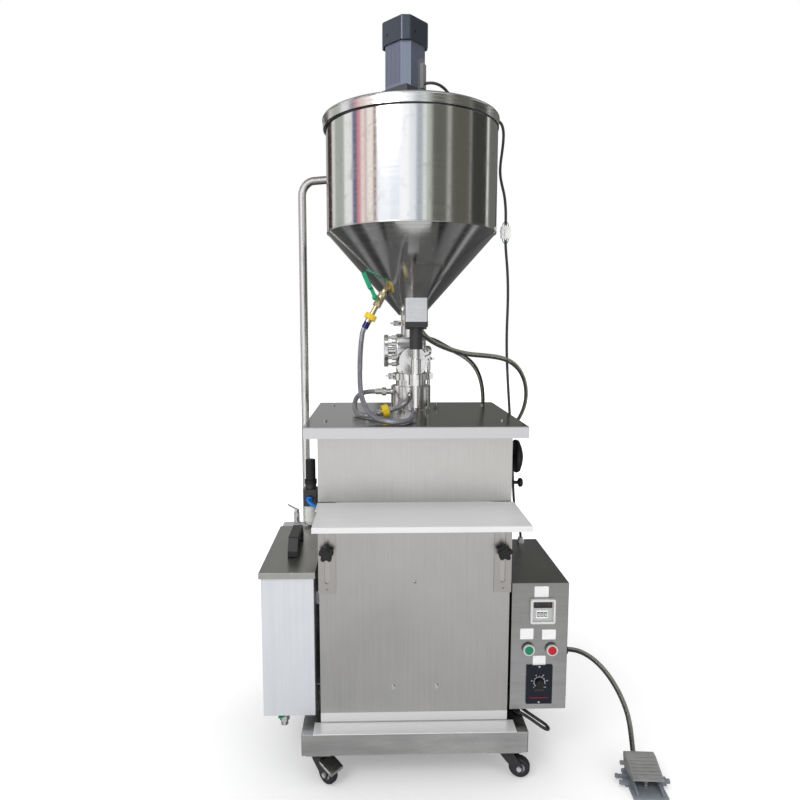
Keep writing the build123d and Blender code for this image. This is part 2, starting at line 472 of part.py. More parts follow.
hl = extrude(make_face(hl), 24)
hl = Pos(HDX - hl.bounding_box().center().X, 0, 0) * hl
hl = fillet(hl.edges().filter_by(Axis.X), 3.5)
add("tank_lid", hl)
# heater, drain valve and return fittings of the tank
heat = FilletPolyline((-300, TANK_D - SHEET - 0.2, 210), (-300, 60, 210), (-300, 60, 250), (-300, TANK_D - SHEET - 0.2, 250), radius=[18, 18])
heat = sweep(Plane(origin=heat @ 0, z_dir=heat % 0) * Circle(6), path=heat)
drn = cz(-322, 66, 118, TANK_Z0, 9) + hexz(-322, 66, 96, 118, 22) + cz(-322, 66, 84, 96, 9) - cz(-322, 66, 80, 130, 5)
drn += cyy(-322, 45.5, 66, 126, 5)
drn -= cz(-322, 66, 80, 140, 5)
dck = hexz(-290, 366, TANK_Z1, 511, 20) + cz(-290, 366, 511, 522, 8) + rod((-290, 366, 517), (-290, 346.5, 524), 7)
cock = hexz(-322, 368, TANK_Z1, 511, 20) + cz(-322, 368, 511, 530, 8) + hexz(-322, 368, 530, 540, 14)
add("tank_pipework", heat, drn, dck, cock)
dh = bx(-328, -316, 2, 43, 139.5, 142.5) + bx(-328, -316, 40, 43, 118, 142.5)
dh += cyy(-322, 40, 45.2, 126, 6.5)
add("tank_drain_lever", dh)
ch = cz(-322, 368, 540.3, 549, 7) + Pos(-322, 368, 548) * Rot(0, 28, 0) * bx(-30, 2, -5, 5, -1.5, 1.5)
add("tank_cock_lever", ch)

# ------------------------------------------------- air filter / regulator
FX, FY = -257.0, 150.0
fr = bx(FX - 17.5, FX + 17.5, FY - 18, FY + 18, 625, 668)
fr = fillet(fr.edges().filter_by(Axis.Z), 3)
fr += cz(FX, FY, 668, 680, 14)
fr -= cz(FX, FY, 672, 690, 5.06)
fr += bx(FX + 17.5, -225, FY - 14, FY + 14, 640, 644) + bx(-228, -225, FY - 14, FY + 14, 628, 668)
fr += cyy(FX - 2, FY - 27, FY - 17, 645, 7.5) - cyy(FX - 2, FY - 30, FY - 22, 645, 4)
fr += cyy(FX, FY + 18, FY + 30, 645, 9.5)
fr -= cyy(FX, FY + 16, FY + 31, 645, 6.6)
bwl = cz(FX, FY, 584, 624.8, 16) + Pos(FX, FY, 577) * Cone(9, 16, 14) + cz(FX, FY, 562, 570, 4)
air = FilletPolyline((FX - 2, FY - 22.2, 645), (FX - 2, FY - 39, 643), (FX + 8, FY - 46, 637), (FX + 20, FY - 44, 631), (-225.3, FY - 44, 631), radius=[6, 7, 5])
blue = sweep(Plane(origin=air @ 0, z_dir=air % 0) * Circle(3.9), path=air)
add("air_filter_regulator", fr, bwl, blue)
rk = cz(FX, FY, 690, 743, 12.5) + cz(FX, FY, 680.3, 691, 15.5)
rk = fillet(rk.faces().sort_by(Axis.Z)[-1].edges(), 2)
rk += cz(FX, FY, 673, 681, 5)
add("regulator_knob", rk)

# ------------------------------------------- stroke handwheel, lock knob
HWY, HWZ = 62.0, 767.0
hw = rev([(0, 0), (6, 0), (6, 15), (14, 15), (36, 19), (39.5, 22), (40, 26), (38, 31), (26, 36), (12, 40), (0, 40)], 0, 0)
hw = Pos(222, HWY, HWZ) * Rot(0, 90, 0) * hw
add("stroke_handwheel", hw)
lk = rev([(0, 0), (4.2, 0), (4.2, 30), (6, 31), (11, 34), (11, 39), (8, 42), (0, 42)])
lk = Pos(222, HWY, 702) * Rot(0, 90, 0) * lk
add("stroke_lock_knob", lk)

# ------------------------------------------------------------- shelf
sf = bx(SHELF_X0, SHELF_X1, SHELF_Y0, -3, SHELF_Z - 12, SHELF_Z)
sf = fillet(sf.faces().sort_by(Axis.Z)[-1].edges(), 1.2)
sf -= bx(SHELF_X0 + 1.5, SHELF_X1 - 1.5, SHELF_Y0 + 1.5, -1, SHELF_Z - 13, SHELF_Z - 1.5)
for sgn, xc in ((-1, -206.0), (1, 207.5)):
    br = bx(xc - 20.5, xc + 20.5, -3.3, -0.3, 453, SHELF_Z - 1.5) + bx(xc - 20.5, xc + 20.5, -60, -3.3, SHELF_Z - 4.5, SHELF_Z - 1.5)
    web = Polyline((xc + sgn * 19, -3.3, 640), (xc + sgn * 19, -3.3, SHELF_Z - 4.5), (xc + sgn * 19, -56, SHELF_Z - 4.5), close=True)
    web = extrude(make_face(web), 2)
    br += Pos(xc + sgn * 18.5 - web.bounding_box().center().X, 0, 0) * web
    sl = bx(xc - 6, xc + 6, -5, 1, SLOT_Z0 + 6, SLOT_Z1 - 6) + cyy(xc, -5, 1, SLOT_Z0 + 6, 6) + cyy(xc, -5, 1, SLOT_Z1 - 6, 6)
    br -= sl + cyy(xc + 1, -5, 1, 465, 3)
    sf += br
add("shelf", sf)


def star(xc):
    k = cyy(xc, -14, -3.7, STUD_Z, 10.5)
    body = Pos(0, 0, -1) * Cylinder(12.5, 14) + Pos(0, 0, 7) * Cone(12.5, 10.6, 2)
    for i in range(5):
        a = math.radians(90 + 72 * i)
        body += Pos(12.2 * math.cos(a), 12.2 * math.sin(a), -1) * Cylinder(5.6, 14)
        body += Pos(12.2 * math.cos(a), 12.2 * math.sin(a), 7) * Cone(5.6, 3.7, 2)
    k += Pos(xc, -22, STUD_Z) * Rot(90, 0, 0) * body
    return k - cyy(xc, -24, 0, STUD_Z, 4.06)


add("star_knob_left", star(-206.0))
add("star_knob_right", star(207.5))

# --------------------------------------------------------------- fasteners
fs = []
for sx, sy in SCREWS:
    fs.append(cz(sx, sy, PLATE_TOP, PLATE_TOP + 2.6, 5.4) + cz(sx, sy, 838, PLATE_TOP, 3))
for sx, sy in STUDS:
    fs.append(cz(sx, sy, 834, 868, 4) + hexz(sx, sy, PLATE_TOP, 861, 13, 15) + hexz(sx, sy, 835, 841.9, 13, 15))
for xc in (-206.0, 207.5):
    fs.append(cyy(xc, -23.5, 9, STUD_Z, 4) + hexrod((xc, 1.6, STUD_Z), (xc, 8, STUD_Z), 13))
for hx, hz in ((-51, 217), (53, 218)):
    fs.append(cyy(hx, -2.6, 0, hz, 5) + cyy(hx, 0, 9, hz, 2.6))
fs.append(cz(-62, 206, LID_Z1, LID_Z1 + 7, 4.5) + cz(-62, 206, LID_Z1, LID_Z1 + 2, 8))
add("fasteners", *fs)

# ------------------------------------------------------------ control box
cb = bx(BOX_X0, BOX_X1, BOX_Y0, BOX_Y1, BOX_Z0, BOX_Z1)
cb = fillet(cb.edges().filter_by(Axis.Y) + cb.edges().filter_by(Axis.Z), 1.4)
cb -= bx(BOX_X0 + 1.5, BOX_X1 - 1.5, BOX_Y0 + 1.5, BOX_Y1 + 1, BOX_Z0 + 1.5, BOX_Z1 - 1.5)
rear = bx(BOX_X0, BOX_X1, BOX_Y1 + 0.05, BOX_Y1 + 1.6, BOX_Z0, BOX_Z1)
BTN = {"green": (274.5, 307.0), "red": (330.5, 306.0)}
for bxx, bz in BTN.values():
    cb -= cyy(bxx, 0, 10, bz, 11)
cb -= bx(284, 328, 0, 10, 381, 425) + bx(281, 324, 0, 10, 182, 250)
cb -= cyx(360, 375, 55, 277, 10) + cz(317, 290, 460, 480, 7)
cb += bx(-225 + 450, BOX_X0, 60, 90, 440, 443) + bx(225, BOX_X0, 60, 90, 180, 183) + bx(225, BOX_X0, 250, 280, 440, 443) + bx(225, BOX_X0, 250, 280, 180, 183)
add("control_box", cb, rear)
# instruments: temperature controller, button collars, speed controller, glands
PF = BOX_Y0
tc = bx(276.5, 335.5, PF - 9, PF, 373, 433)
tc = fillet(tc.edges().filter_by(Axis.Y), 4)
tc -= bx(281, 331, PF - 10, PF - 5, 378, 428)
tc += bx(284.2, 327.8, PF, PF + 62, 381.2, 424.8)
col = []
for bxx, bz in BTN.values():
    c0 = cyy(bxx, PF - 6.0, PF, bz, 15) + cyy(bxx, PF - 9.5, PF - 6.0, bz, 13.6) + cyy(bxx, PF, PF + 40, bz, 10.8)
    c0 -= cyy(bxx, PF - 12, PF + 12, bz, 10.3) + cyy(bxx, PF - 12, PF + 34, bz, 6.2)
    col.append(c0)
sp = bx(271, 334, PF - 4, PF, 168, 265.5)
sp = fillet(sp.edges().filter_by(Axis.Y), 1.5) + bx(281.2, 323.8, PF, PF + 70, 182.2, 249.8)
SKX, SKZ = 302.5, 224.0
sp -= cyy(SKX, PF - 5, PF + 8, SKZ, 3.06)
gl1 = cyx(369, 377, 55, 277, 12) + cyx(358, 369, 55, 277, 9.9) + cyx(377, 384, 55, 277, 10.6)
gl1 -= bx(356, 390, 50.5, 59.5, 268, 286)
gl2 = hexz(317, 290, BOX_Z1, BOX_Z1 + 8, 19) + cz(317, 290, BOX_Z1 - 8, BOX_Z1, 6.9) + cz(317, 290, BOX_Z1 + 8, BOX_Z1 + 15, 7.4)
add("panel_instruments", tc, *col, sp, gl1, gl2)
for n, (bxx, bz) in BTN.items():
    b = cyy(bxx, PF - 11.5, PF - 1, bz, 10.1) + cyy(bxx, PF - 2, PF + 30, bz, 6.1)
    b = fillet(b.faces().sort_by(Axis.Y)[0].edges(), 1.2)
    add(n + "_button", b)
kn = cyy(SKX, PF - 17, PF - 4.3, SKZ, 9.5)
kn = chamfer(kn.faces().sort_by(Axis.Y)[0].edges(), 1)
kn += cyy(SKX, PF - 6, PF + 7, SKZ, 3)
for i in range(12):
    a = math.radians(30 * i)
    kn -= cyy(SKX + 10.2 * math.cos(a), PF - 20, PF - 6, SKZ + 10.2 * math.sin(a), 1.5)
kn -= bx(SKX - 0.8, SKX + 0.8, PF - 18, PF - 16.2, SKZ, SKZ + 9.6)
add("speed_knob", kn)

# ------------------------------------------------------------- foot pedal
# own axes: x across, y towards the heel hinge, z up; front left foot at (0, 0)
PA = -4.0
PED = Pos(498.0, -110.0, 0) * Rot(0, 0, PA)
PW, PL = 80.0, 100.0
pb = bx(0, PW, 0, PL, 0, 5)
pb = fillet(pb.edges().filter_by(Axis.Z), 4)
for x0 in (8, PW - 13):
    w = Polyline((x0, 6, 5), (x0, 6, 9), (x0, 34, 16), (x0, 62, 29), (x0, 90, 40), (x0, 98, 34), (x0, 98, 5), close=True)
    w = extrude(make_face(w), 5)
    pb += Pos(x0 + 2.5 - w.bounding_box().center().X, 0, 0) * w
pb += bx(24, 54, 64, 94, 5, 30)                              # air valve block at the heel
pb += cyy(31, 94, 106, 17, 7) + cyy(47, 94, 106, 17, 7)     # push-in fittings
pb -= cyy(31, 98, 112, 17, 4.05) + cyy(47, 98, 112, 17, 4.05)
pb += bx(PW - 3.8, PW + 9, 43, 55, 4.5, 20) + cyx(PW - 3.8, PW + 17, 49, 13, 5.5)
for y0, y1, x1 in ((42, 50, -22), (64, 72, -26)):            # two hooks on the left side
    pb += bx(x1 + 6, 9, y0, y1, 5, 11) + cz(x1 + 6, (y0 + y1) / 2, 5, 13, 4)
pb += bx(-6, 9, 42, 72, 0, 6)
pb += cz(39, 38, 5, 9, 5)
pb -= cyx(-5, PW + 5, 84, 31, 3.06)
pb -= cyx(13, PW - 13, 84, 31, 6) - cyx(23, 55, 84, 31, 6)
add("pedal_base", PED * pb)
TH = math.degrees(math.atan2(19.5, 58))
pc = Polyline((39, 22, 33.5), (39, 80, 53), (39, 96, 53), (39, 101, 49), (39, 101, 38), (39, 98, 38), (39, 98, 47.5), (39, 94, 50), (39, 81, 50), (39, 22, 30.5), close=True)
pc = extrude(make_face(pc), PW - 10)
pc = Pos(PW / 2 - pc.bounding_box().center().X, 0, 0) * pc
for x0 in (4.8, PW - 7.2):
    s = Polyline((x0, 26, 31.6), (x0, 30, 24.5), (x0, 76, 25), (x0, 94, 25), (x0, 100.5, 40), (x0, 96, 52), (x0, 80, 52), close=True)
    s = extrude(make_face(s), 2.4)
    pc += Pos(x0 + 1.2 - s.bounding_box().center().X, 0, 0) * s
pc += cyx(5, PW - 5, 84, 31, 3)
pc += Pos(-1, 84, 31) * Rot(0, 90, 0) * Cylinder(5, 11.6)
rib = None
for k in range(7):
    yy = 28 + k * 8.2
    zz = 33.5 + (yy - 22) * 19.5 / 58
    r0 = Pos(PW / 2, yy, zz + 0.3) * Rot(TH, 0, 0) * Box(PW - 16, 3.0, 2.2)
    rib = r0 if rib is None else rib + r0
pc += rib
pc -= bx(22, 56, 62, 95, 0, 31)
add("pedal_cover", PED * pc)
# return spring between base and cover
hx = Helix(4.2, 22.4, 6.2, center=(39, 38, 9.95))
spg = sweep(Plane(origin=hx @ 0, z_dir=hx % 0) * Circle(0.9), path=hx)
add("pedal_spring", PED * spg)


# ------------------------------------------------------- hoses and leads
def local(p):
    q = PED * Pos(*p)
    return tuple(q.position)


HOSE = 6.5
A = [(-120.1, 229.4, 1073.5), (-124.4, 228.5, 1065.7), (-126.5, 224.0, 1053.4), (-129.2, 214.5, 1031.0), (-130.8, 197.2, 1001.7), (-131.0, 175.6, 975.2),
     (-130.7, 152.5, 950.0), (-129.2, 127.6, 926.6), (-125.1, 101.1, 905.5), (-116.9, 73.3, 887.4), (-104.6, 44.9, 873.0), (-86.6, 17.5, 863.9),
     (-66.7, 0.4, 861.4), (-51.7, -4.6, 861.0), (-38.8, -3.5, 861.0), (-27.2, 2.9, 861.0), (-15.1, 18.7, 861.2), (-5.2, 49.6, 862.1),
     (0.7, 83.1, 865.3), (4.7, 116.4, 871.7), (7.4, 149.4, 880.2), (7.9, 173.2, 886.5), (8.0, 186.7, 890.0), (8.0, 195.7, 890.0)]
add("braided_hose_inlet", tube("braided_hose_inlet", A, HOSE, 13))
B = [(-92.3, 290, 901), (-104, 290, 901), (-119, 286.5, 899.7), (-132, 276.5, 896), (-141, 260, 890.5), (-145.5, 238, 882), (-146.5, 214, 874.5), (-145, 190, 868.5),
     (-142, 166, 864.3), (-138, 144, 862), (-133, 128, 861.2), (-125.5, 113.5, 861.2), (-115, 102.8, 861.2), un(-36.5), un(-22.4)]
add("braided_hose_outlet", tube("braided_hose_outlet", B, HOSE, 13))
CH = [un(18.3), un(30), (-28, 115, 882.6), (-18, 115.5, 890), (-12, 112.3, 898.4), (-7.9, 105, 906.7)]
add("braided_hose_nozzle", tube("braided_hose_nozzle", CH, HOSE, 13))


U = [(14.0, 109.0, 1088.6), (14.0, 109.0, 1079.6), (19.7, 109.9, 1067.5), (32.8, 111.2, 1050.6), (59.3, 112.1, 1034.5), (89.2, 113.3, 1022.6),
     (119.6, 117.4, 1013.0), (149.7, 127.9, 1008.5), (177.6, 143.7, 1005.8), (203.5, 162.5, 1002.6), (228.2, 182.7, 998.2), (252.3, 202.9, 991.0),
     (274.6, 222.5, 978.7), (293.9, 240.8, 960.6), (308.9, 256.1, 936.7), (317.7, 267.2, 907.9), (319.1, 273.9, 876.6), (311.5, 276.5, 845.5),
     (296.2, 277.0, 817.2), (274.5, 277.0, 793.5), (250.1, 277.0, 780.4), (234.0, 277.0, 777.0), (225.0, 277.0, 777.0)]
add("air_tubes_nozzle", tube("air_tubes_nozzle", U, 5.6, 11.2))
LWR = [(50.3, 367.0, 1044.0), (60.0, 367.0, 1043.4), (72.0, 364.3, 1040.2), (88.0, 356.8, 1032.6), (107.0, 346.8, 1021.2), (129.2, 338.5, 1009.2),
       (153.0, 335.4, 996.6), (174.5, 339.6, 981.4), (191.6, 350.9, 962.2), (204.1, 366.1, 941.5), (213.2, 383.4, 921.0), (220.3, 402.8, 900.3), (225.7, 420.6, 878.9),
       (229.4, 436.8, 856.0), (230.1, 448.3, 830.2), (225.8, 450.0, 808.9), (219.8, 446.8, 795.0), (213.2, 438.4, 784.4), (206.9, 422.0, 775.7),
       (204.0, 409.3, 772.0), (204.0, 400.3, 772.0)]
add("air_tubes_valve", tube("air_tubes_valve", LWR, 5.6, 11.2))
MC1 = [(38.3, 268.3, 1698.0), (47.2, 263.8, 1698.0), (61.0, 260.4, 1696.4), (75.8, 261.8, 1692.0), (90.5, 268.0, 1684.0), (107.0, 277.5, 1668.5), (124.5, 284.0, 1650.5),
     (143.5, 287.6, 1634.0), (163.5, 289.2, 1622.5), (185.0, 289.9, 1617.6), (207.5, 290.0, 1616.7), (225.5, 290.0, 1616.8), (236.6, 290.0, 1611.9), (243.8, 290.0, 1602.1), (247.6, 290.0, 1583.6),
     (246.7, 290.0, 1557.4), (243.7, 290.0, 1531.3), (240.4, 290.0, 1505.2), (239.7, 290.0, 1479.0), (244.6, 290.0, 1453.3), (251.8, 290.0, 1428.0),
     (255.7, 290.0, 1402.1), (257.3, 290.0, 1375.9), (257.5, 290.3, 1356.3), (257.5, 290.5, 1347.3)]
m1 = tube("motor_cable_upper", MC1, 4.0, 8)
con = bx(244, 271, 283, 298, 1308, 1347)
MC2 = [(258.0, 290.0, 1307.7), (258.1, 290.0, 1296.7), (260.1, 290.0, 1272.6), (264.7, 290.0, 1228.6), (267.4, 290.0, 1175.4), (267.4, 290.0, 1122.0),
     (266.1, 290.0, 1068.7), (266.8, 290.0, 1015.4), (269.5, 290.0, 962.1), (273.3, 290.0, 908.9), (277.5, 290.0, 855.8), (281.7, 290.0, 802.6),
     (285.8, 290.0, 749.4), (289.6, 290.0, 696.2), (292.3, 290.0, 643.0), (295.7, 290.0, 589.7), (303.4, 290.0, 540.6), (311.8, 290.0, 512.4),
     (317.0, 290.0, 497.3), (317.0, 290.0, 486.3)]
m2 = tube("motor_cable_lower", MC2, 4.0, 8)
add("motor_cable", m1, con, m2)
P2 = [(384.3, 55.0, 277.0), (395.3, 55.0, 277.0), (417.7, 55.0, 271.5), (443.3, 55.8, 256.7), (465.7, 56.6, 237.1), (485.3, 56.4, 215.3),
     (502.2, 55.0, 191.4), (517.0, 51.8, 165.9), (529.2, 47.4, 139.2), (538.6, 42.0, 111.6), (543.8, 36.2, 83.6), (546.2, 30.4, 56.0),
     (547.0, 24.2, 36.0), (546.2, 15.6, 22.6), (545.1, 4.0, 17.0), (544.3, -7.0, 17.0)]
add("pedal_air_tubes", tube("pedal_air_tubes", P2, 5.6, 11.2))
MR = 3.75
PC = [(225.3, 300.0, 146.5), (232.3, 300.0, 146.5), (240.7, 295.3, 143.0), (246.8, 285.7, 139.0), (249.2, 270.5, 135.5), (248.5, 241.1, 131.8),
      (244.9, 200.9, 131.9), (241.3, 160.7, 132.1), (239.6, 120.3, 131.9), (238.9, 80.0, 132.7), (243.6, 46.2, 134.0), (255.4, 25.9, 134.1),
      (267.5, 16.5, 132.5), (279.6, 11.9, 127.0), (299.9, 8.5, 113.2), (317.0, 7.0, 101.3), (326.9, 8.4, 95.5), (333.3, 15.1, 92.9),
      (330.6, 24.0, 95.2), (322.2, 27.7, 100.8), (306.8, 29.1, 110.8), (287.2, 31.7, 123.8), (275.2, 37.6, 130.3), (267.8, 45.5, 132.6),
      (260.6, 62.2, 132.9), (255.9, 95.0, 131.9), (255.6, 135.3, 132.0), (257.9, 175.6, 132.1), (259.6, 216.0, 132.0), (259.9, 256.4, 132.1),
      (257.5, 296.6, 132.0), (251.6, 336.6, 132.1), (244.3, 376.3, 132.2), (237.8, 413.4, 134.1), (235.2, 435.7, 135.4), (234.1, 448.5, 133.4),
      (233.0, 458.9, 126.7), (232.1, 466.9, 114.4), (231.6, 470.7, 93.8), (230.8, 471.1, 58.1), (227.7, 472.9, 31.8), (222.9, 477.1, 18.3),
      (216.0, 484.3, 9.6), (206.5, 492.3, 5.6), (193.0, 503.4, 4.2), (176.0, 517.2, 4.2), (167.6, 524.0, 4.2)]
add("power_cord", tube("power_cord", PC, MR, 7.5))
COILX, COILY = 108.5, 499.9
coil = rev([(29.5, 0.2), (60, 0.2), (60, 16), (29.5, 16)], COILX, COILY)
add("power_cord_coil", coil)
PX, PY = 16.0, 550.4
pg = bx(PX - 22, PX + 22, PY - 14, PY + 14, 0.2, 25)
pg = fillet(pg.edges().filter_by(Axis.X), 5)
pg += bx(PX - 42, PX - 22, PY - 3, PY + 3, 12, 14) + bx(PX - 39, PX - 22, PY - 9, PY - 7, 6, 12) + bx(PX - 39, PX - 22, PY + 7, PY + 9, 6, 12)
pg += Pos(PX + 27, PY, 10) * Rot(0, 90, 0) * Cylinder(5.5, 10)
add("power_plug", pg)

# ------------------------------------------------------------------ export
CORDS = ["braided_hose_inlet", "braided_hose_outlet", "braided_hose_nozzle", "air_tubes_nozzle", "air_tubes_valve", "motor_cable", "pedal_air_tubes", "power_cord", "power_cord_coil", "power_plug"]
lo = [1e9] * 3
hi = [-1e9] * 3
for name, solids in parts.items():
    comp = Compound(children=[Pos(-ORIGIN_X, -ORIGIN_Y, 0) * s for s in solids]) if len(solids) > 1 else Pos(-ORIGIN_X, -ORIGIN_Y, 0) * solids[0]
    export_step(comp, f"parts/{name}.step")
    if name not in CORDS:
        b = comp.bounding_box()
        for i, (p, q) in enumerate(((b.min.X, b.max.X), (b.min.Y, b.max.Y), (b.min.Z, b.max.Z))):
            lo[i] = min(lo[i], p)
            hi[i] = max(hi[i], q)
print(len(parts), "nodes")
print("box without the cords", [round(v, 2) for v in lo], [round(v, 2) for v in hi], "middle", round((lo[0] + hi[0]) / 2, 3), round((lo[1] + hi[1]) / 2, 3))
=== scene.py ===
import bpy, bmesh, json, math, random
from mathutils import Matrix, Vector

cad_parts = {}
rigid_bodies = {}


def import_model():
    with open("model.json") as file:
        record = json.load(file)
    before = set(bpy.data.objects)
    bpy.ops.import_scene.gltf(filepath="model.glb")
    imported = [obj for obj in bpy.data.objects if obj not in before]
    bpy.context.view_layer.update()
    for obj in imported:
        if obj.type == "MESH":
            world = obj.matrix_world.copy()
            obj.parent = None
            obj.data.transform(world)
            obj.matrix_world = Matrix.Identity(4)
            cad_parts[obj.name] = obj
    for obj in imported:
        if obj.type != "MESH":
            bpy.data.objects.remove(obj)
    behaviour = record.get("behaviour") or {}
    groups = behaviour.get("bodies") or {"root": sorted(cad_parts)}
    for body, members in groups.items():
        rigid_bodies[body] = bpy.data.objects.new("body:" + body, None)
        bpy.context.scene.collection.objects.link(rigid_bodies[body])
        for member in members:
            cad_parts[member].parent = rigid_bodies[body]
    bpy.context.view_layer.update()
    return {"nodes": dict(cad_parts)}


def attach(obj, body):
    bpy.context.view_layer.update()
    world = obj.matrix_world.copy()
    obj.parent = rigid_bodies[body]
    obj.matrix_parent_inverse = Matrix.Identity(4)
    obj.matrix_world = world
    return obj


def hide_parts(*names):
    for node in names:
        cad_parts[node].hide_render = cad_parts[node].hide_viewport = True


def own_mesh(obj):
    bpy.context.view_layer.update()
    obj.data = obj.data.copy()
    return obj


for o in list(bpy.data.objects):
    bpy.data.objects.remove(o)
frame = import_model()
NODES = frame["nodes"]
random.seed(7)

# ---------------------------------------------------------------- the frame
# drawing coordinates: millimetres, x = 0 on the cabinet's centre line,
# y = 0 on its front face, z = 0 on the floor
OX, OY = 116.033, 166.5


def P(x, y, z):
    return Vector(((x - OX) / 1000, (y - OY) / 1000, z / 1000))


scene = bpy.context.scene
coll = scene.collection

# ------------------------------------------------------------------- camera
cam_data = bpy.data.cameras.new("camera")
cam = bpy.data.objects.new("camera", cam_data)
coll.objects.link(cam)
yaw, pitch = math.radians(1.4), math.radians(-6.36)
fwd = Vector((math.sin(yaw) * math.cos(pitch), math.cos(yaw) * math.cos(pitch), math.sin(pitch)))
right = Vector((math.cos(yaw), -math.sin(yaw), 0))
up = right.cross(fwd)
cam.matrix_world = Matrix.Translation(P(-90, -1424, 1078)) @ Matrix((right, up, -fwd)).transposed().to_4x4()
cam_data.sensor_width = 36.0
cam_data.lens = 629.0 / 800 * 36
cam_data.shift_x = (400 - 391.4) / 800
cam_data.shift_y = -(400 - 396.5) / 800
cam_data.clip_end = 60
scene.camera = cam


# ------------------------------------------------------------ node helpers
class Mat:
    """a procedural material; coordinates are the object's own, in metres"""

    def __init__(self, name, base=(0.8, 0.8, 0.8), metal=0.0, rough=0.5, spec=0.5, coat=0.0, coat_rough=0.1, ior=1.5):
        self.m = bpy.data.materials.new(name)
        self.m.use_nodes = True
        self.nt = self.m.node_tree
        self.b = self.nt.nodes["Principled BSDF"]
        self.b.inputs["Base Color"].default_value = (*base, 1)
        self.b.inputs["Metallic"].default_value = metal
        self.b.inputs["Roughness"].default_value = rough
        self.b.inputs["Specular IOR Level"].default_value = spec
        self.b.inputs["Coat Weight"].default_value = coat
        self.b.inputs["Coat Roughness"].default_value = coat_rough
        self.b.inputs["IOR"].default_value = ior
        self.tc = self.nt.nodes.new("ShaderNodeTexCoord")
        self.obj = self.tc.outputs["Object"]
        self.m.diffuse_color = (*base, 1)

    def node(self, kind, **props):
        n = self.nt.nodes.new(kind)
        for k, v in props.items():
            setattr(n, k, v)
        return n

    def link(self, a, b):
        self.nt.links.new(a, b)

    def put(self, sock, v):
        if hasattr(v, "is_linked") or hasattr(v, "links"):
            self.link(v, sock)
        else:
            sock.default_value = v

    def math(self, op, a, b=None, c=None, clamp=False):
        n = self.node("ShaderNodeMath", operation=op, use_clamp=clamp)
        for s, v in zip(n.inputs, (a, b, c)):
            if v is not None:
                self.put(s, v)
        return n.outputs[0]

    def scaled(self, s, coord=None, off=(0, 0, 0), rot=(0, 0, 0)):
        n = self.node("ShaderNodeMapping")
        self.link(coord or self.obj, n.inputs["Vector"])
        n.inputs["Scale"].default_value = s
        n.inputs["Location"].default_value = off
        n.inputs["Rotation"].default_value = rot
        return n.outputs[0]

    def noise(self, s=(1, 1, 1), scale=1.0, detail=3.0, rough=0.55, dist=0.0, coord=None, off=(0, 0, 0)):
        n = self.node("ShaderNodeTexNoise")
        self.link(self.scaled(s, coord, off), n.inputs["Vector"])
        n.inputs["Scale"].default_value = scale
        n.inputs["Detail"].default_value = detail
        n.inputs["Roughness"].default_value = rough
        n.inputs["Distortion"].default_value = dist
        return n.outputs["Fac"]

    def span(self, v, a, b, lo=0.0, hi=1.0, smooth=False):
        n = self.node("ShaderNodeMapRange", interpolation_type="SMOOTHSTEP" if smooth else "LINEAR", clamp=True)
        self.put(n.inputs["Value"], v)
        for k, x in zip(("From Min", "From Max", "To Min", "To Max"), (a, b, lo, hi)):
            n.inputs[k].default_value = x
        return n.outputs[0]

    def mixc(self, f, a, b):
        n = self.node("ShaderNodeMix", data_type="RGBA", clamp_factor=True)
        self.put(n.inputs[0], f)
        for s, v in ((n.inputs[6], a), (n.inputs[7], b)):
            if isinstance(v, tuple):
                s.default_value = (*v[:3], 1)
            else:
                self.link(v, s)
        return n.outputs[2]

    def mixf(self, f, a, b):
        n = self.node("ShaderNodeMix", data_type="FLOAT", clamp_factor=True)
        self.put(n.inputs[0], f)
        self.put(n.inputs[2], a)
        self.put(n.inputs[3], b)
        return n.outputs[0]

    def xyz(self, coord=None):
        n = self.node("ShaderNodeSeparateXYZ")
        self.link(coord or self.obj, n.inputs[0])
        return n.outputs

    def normal(self):
        """object-space normal components"""
        g = self.tc.outputs["Normal"]
        n = self.node("ShaderNodeSeparateXYZ")
        self.link(g, n.inputs[0])
        return n.outputs

    def box(self, x0=None, x1=None, y0=None, y1=None, z0=None, z1=None, soft=0.0002):
        """1 inside the box of drawing millimetres, 0 outside"""
        o = self.xyz()
        f = None
        for axis, lo, hi, shift in ((0, x0, x1, OX), (1, y0, y1, OY), (2, z0, z1, 0)):
            for edge, sign in ((lo, 1), (hi, -1)):
                if edge is None:
                    continue
                e = (edge - shift) / 1000
                s = self.span(o[axis], e - soft, e + soft, 0.0 if sign > 0 else 1.0, 1.0 if sign > 0 else 0.0)
                f = s if f is None else self.math("MULTIPLY", f, s)
        return f

    def ball(self, c, r, soft=0.0003):
        n = self.node("ShaderNodeVectorMath", operation="DISTANCE")
        self.link(self.obj, n.inputs[0])
        n.inputs[1].default_value = P(*c)
        return self.span(n.outputs["Value"], r / 1000 - soft, r / 1000 + soft, 1.0, 0.0)

    def rod(self, a, b, r, soft=0.0003):
        """1 within r of the segment a-b"""
        a, b = P(*a), P(*b)
        d = b - a
        s = self.node("ShaderNodeVectorMath", operation="SUBTRACT")
        self.link(self.obj, s.inputs[0])
        s.inputs[1].default_value = a
        dot = self.node("ShaderNodeVectorMath", operation="DOT_PRODUCT")
        self.link(s.outputs[0], dot.inputs[0])
        dot.inputs[1].default_value = d / d.length_squared
        t = self.math("MINIMUM", self.math("MAXIMUM", dot.outputs["Value"], 0.0), 1.0)
        sc = self.node("ShaderNodeVectorMath", operation="SCALE")
        sc.inputs[0].default_value = d
        self.link(t, sc.inputs["Scale"])
        df = self.node("ShaderNodeVectorMath", operation="DISTANCE")
        self.link(s.outputs[0], df.inputs[0])
        self.link(sc.outputs[0], df.inputs[1])
        return self.span(df.outputs["Value"], r / 1000 - soft, r / 1000 + soft, 1.0, 0.0)

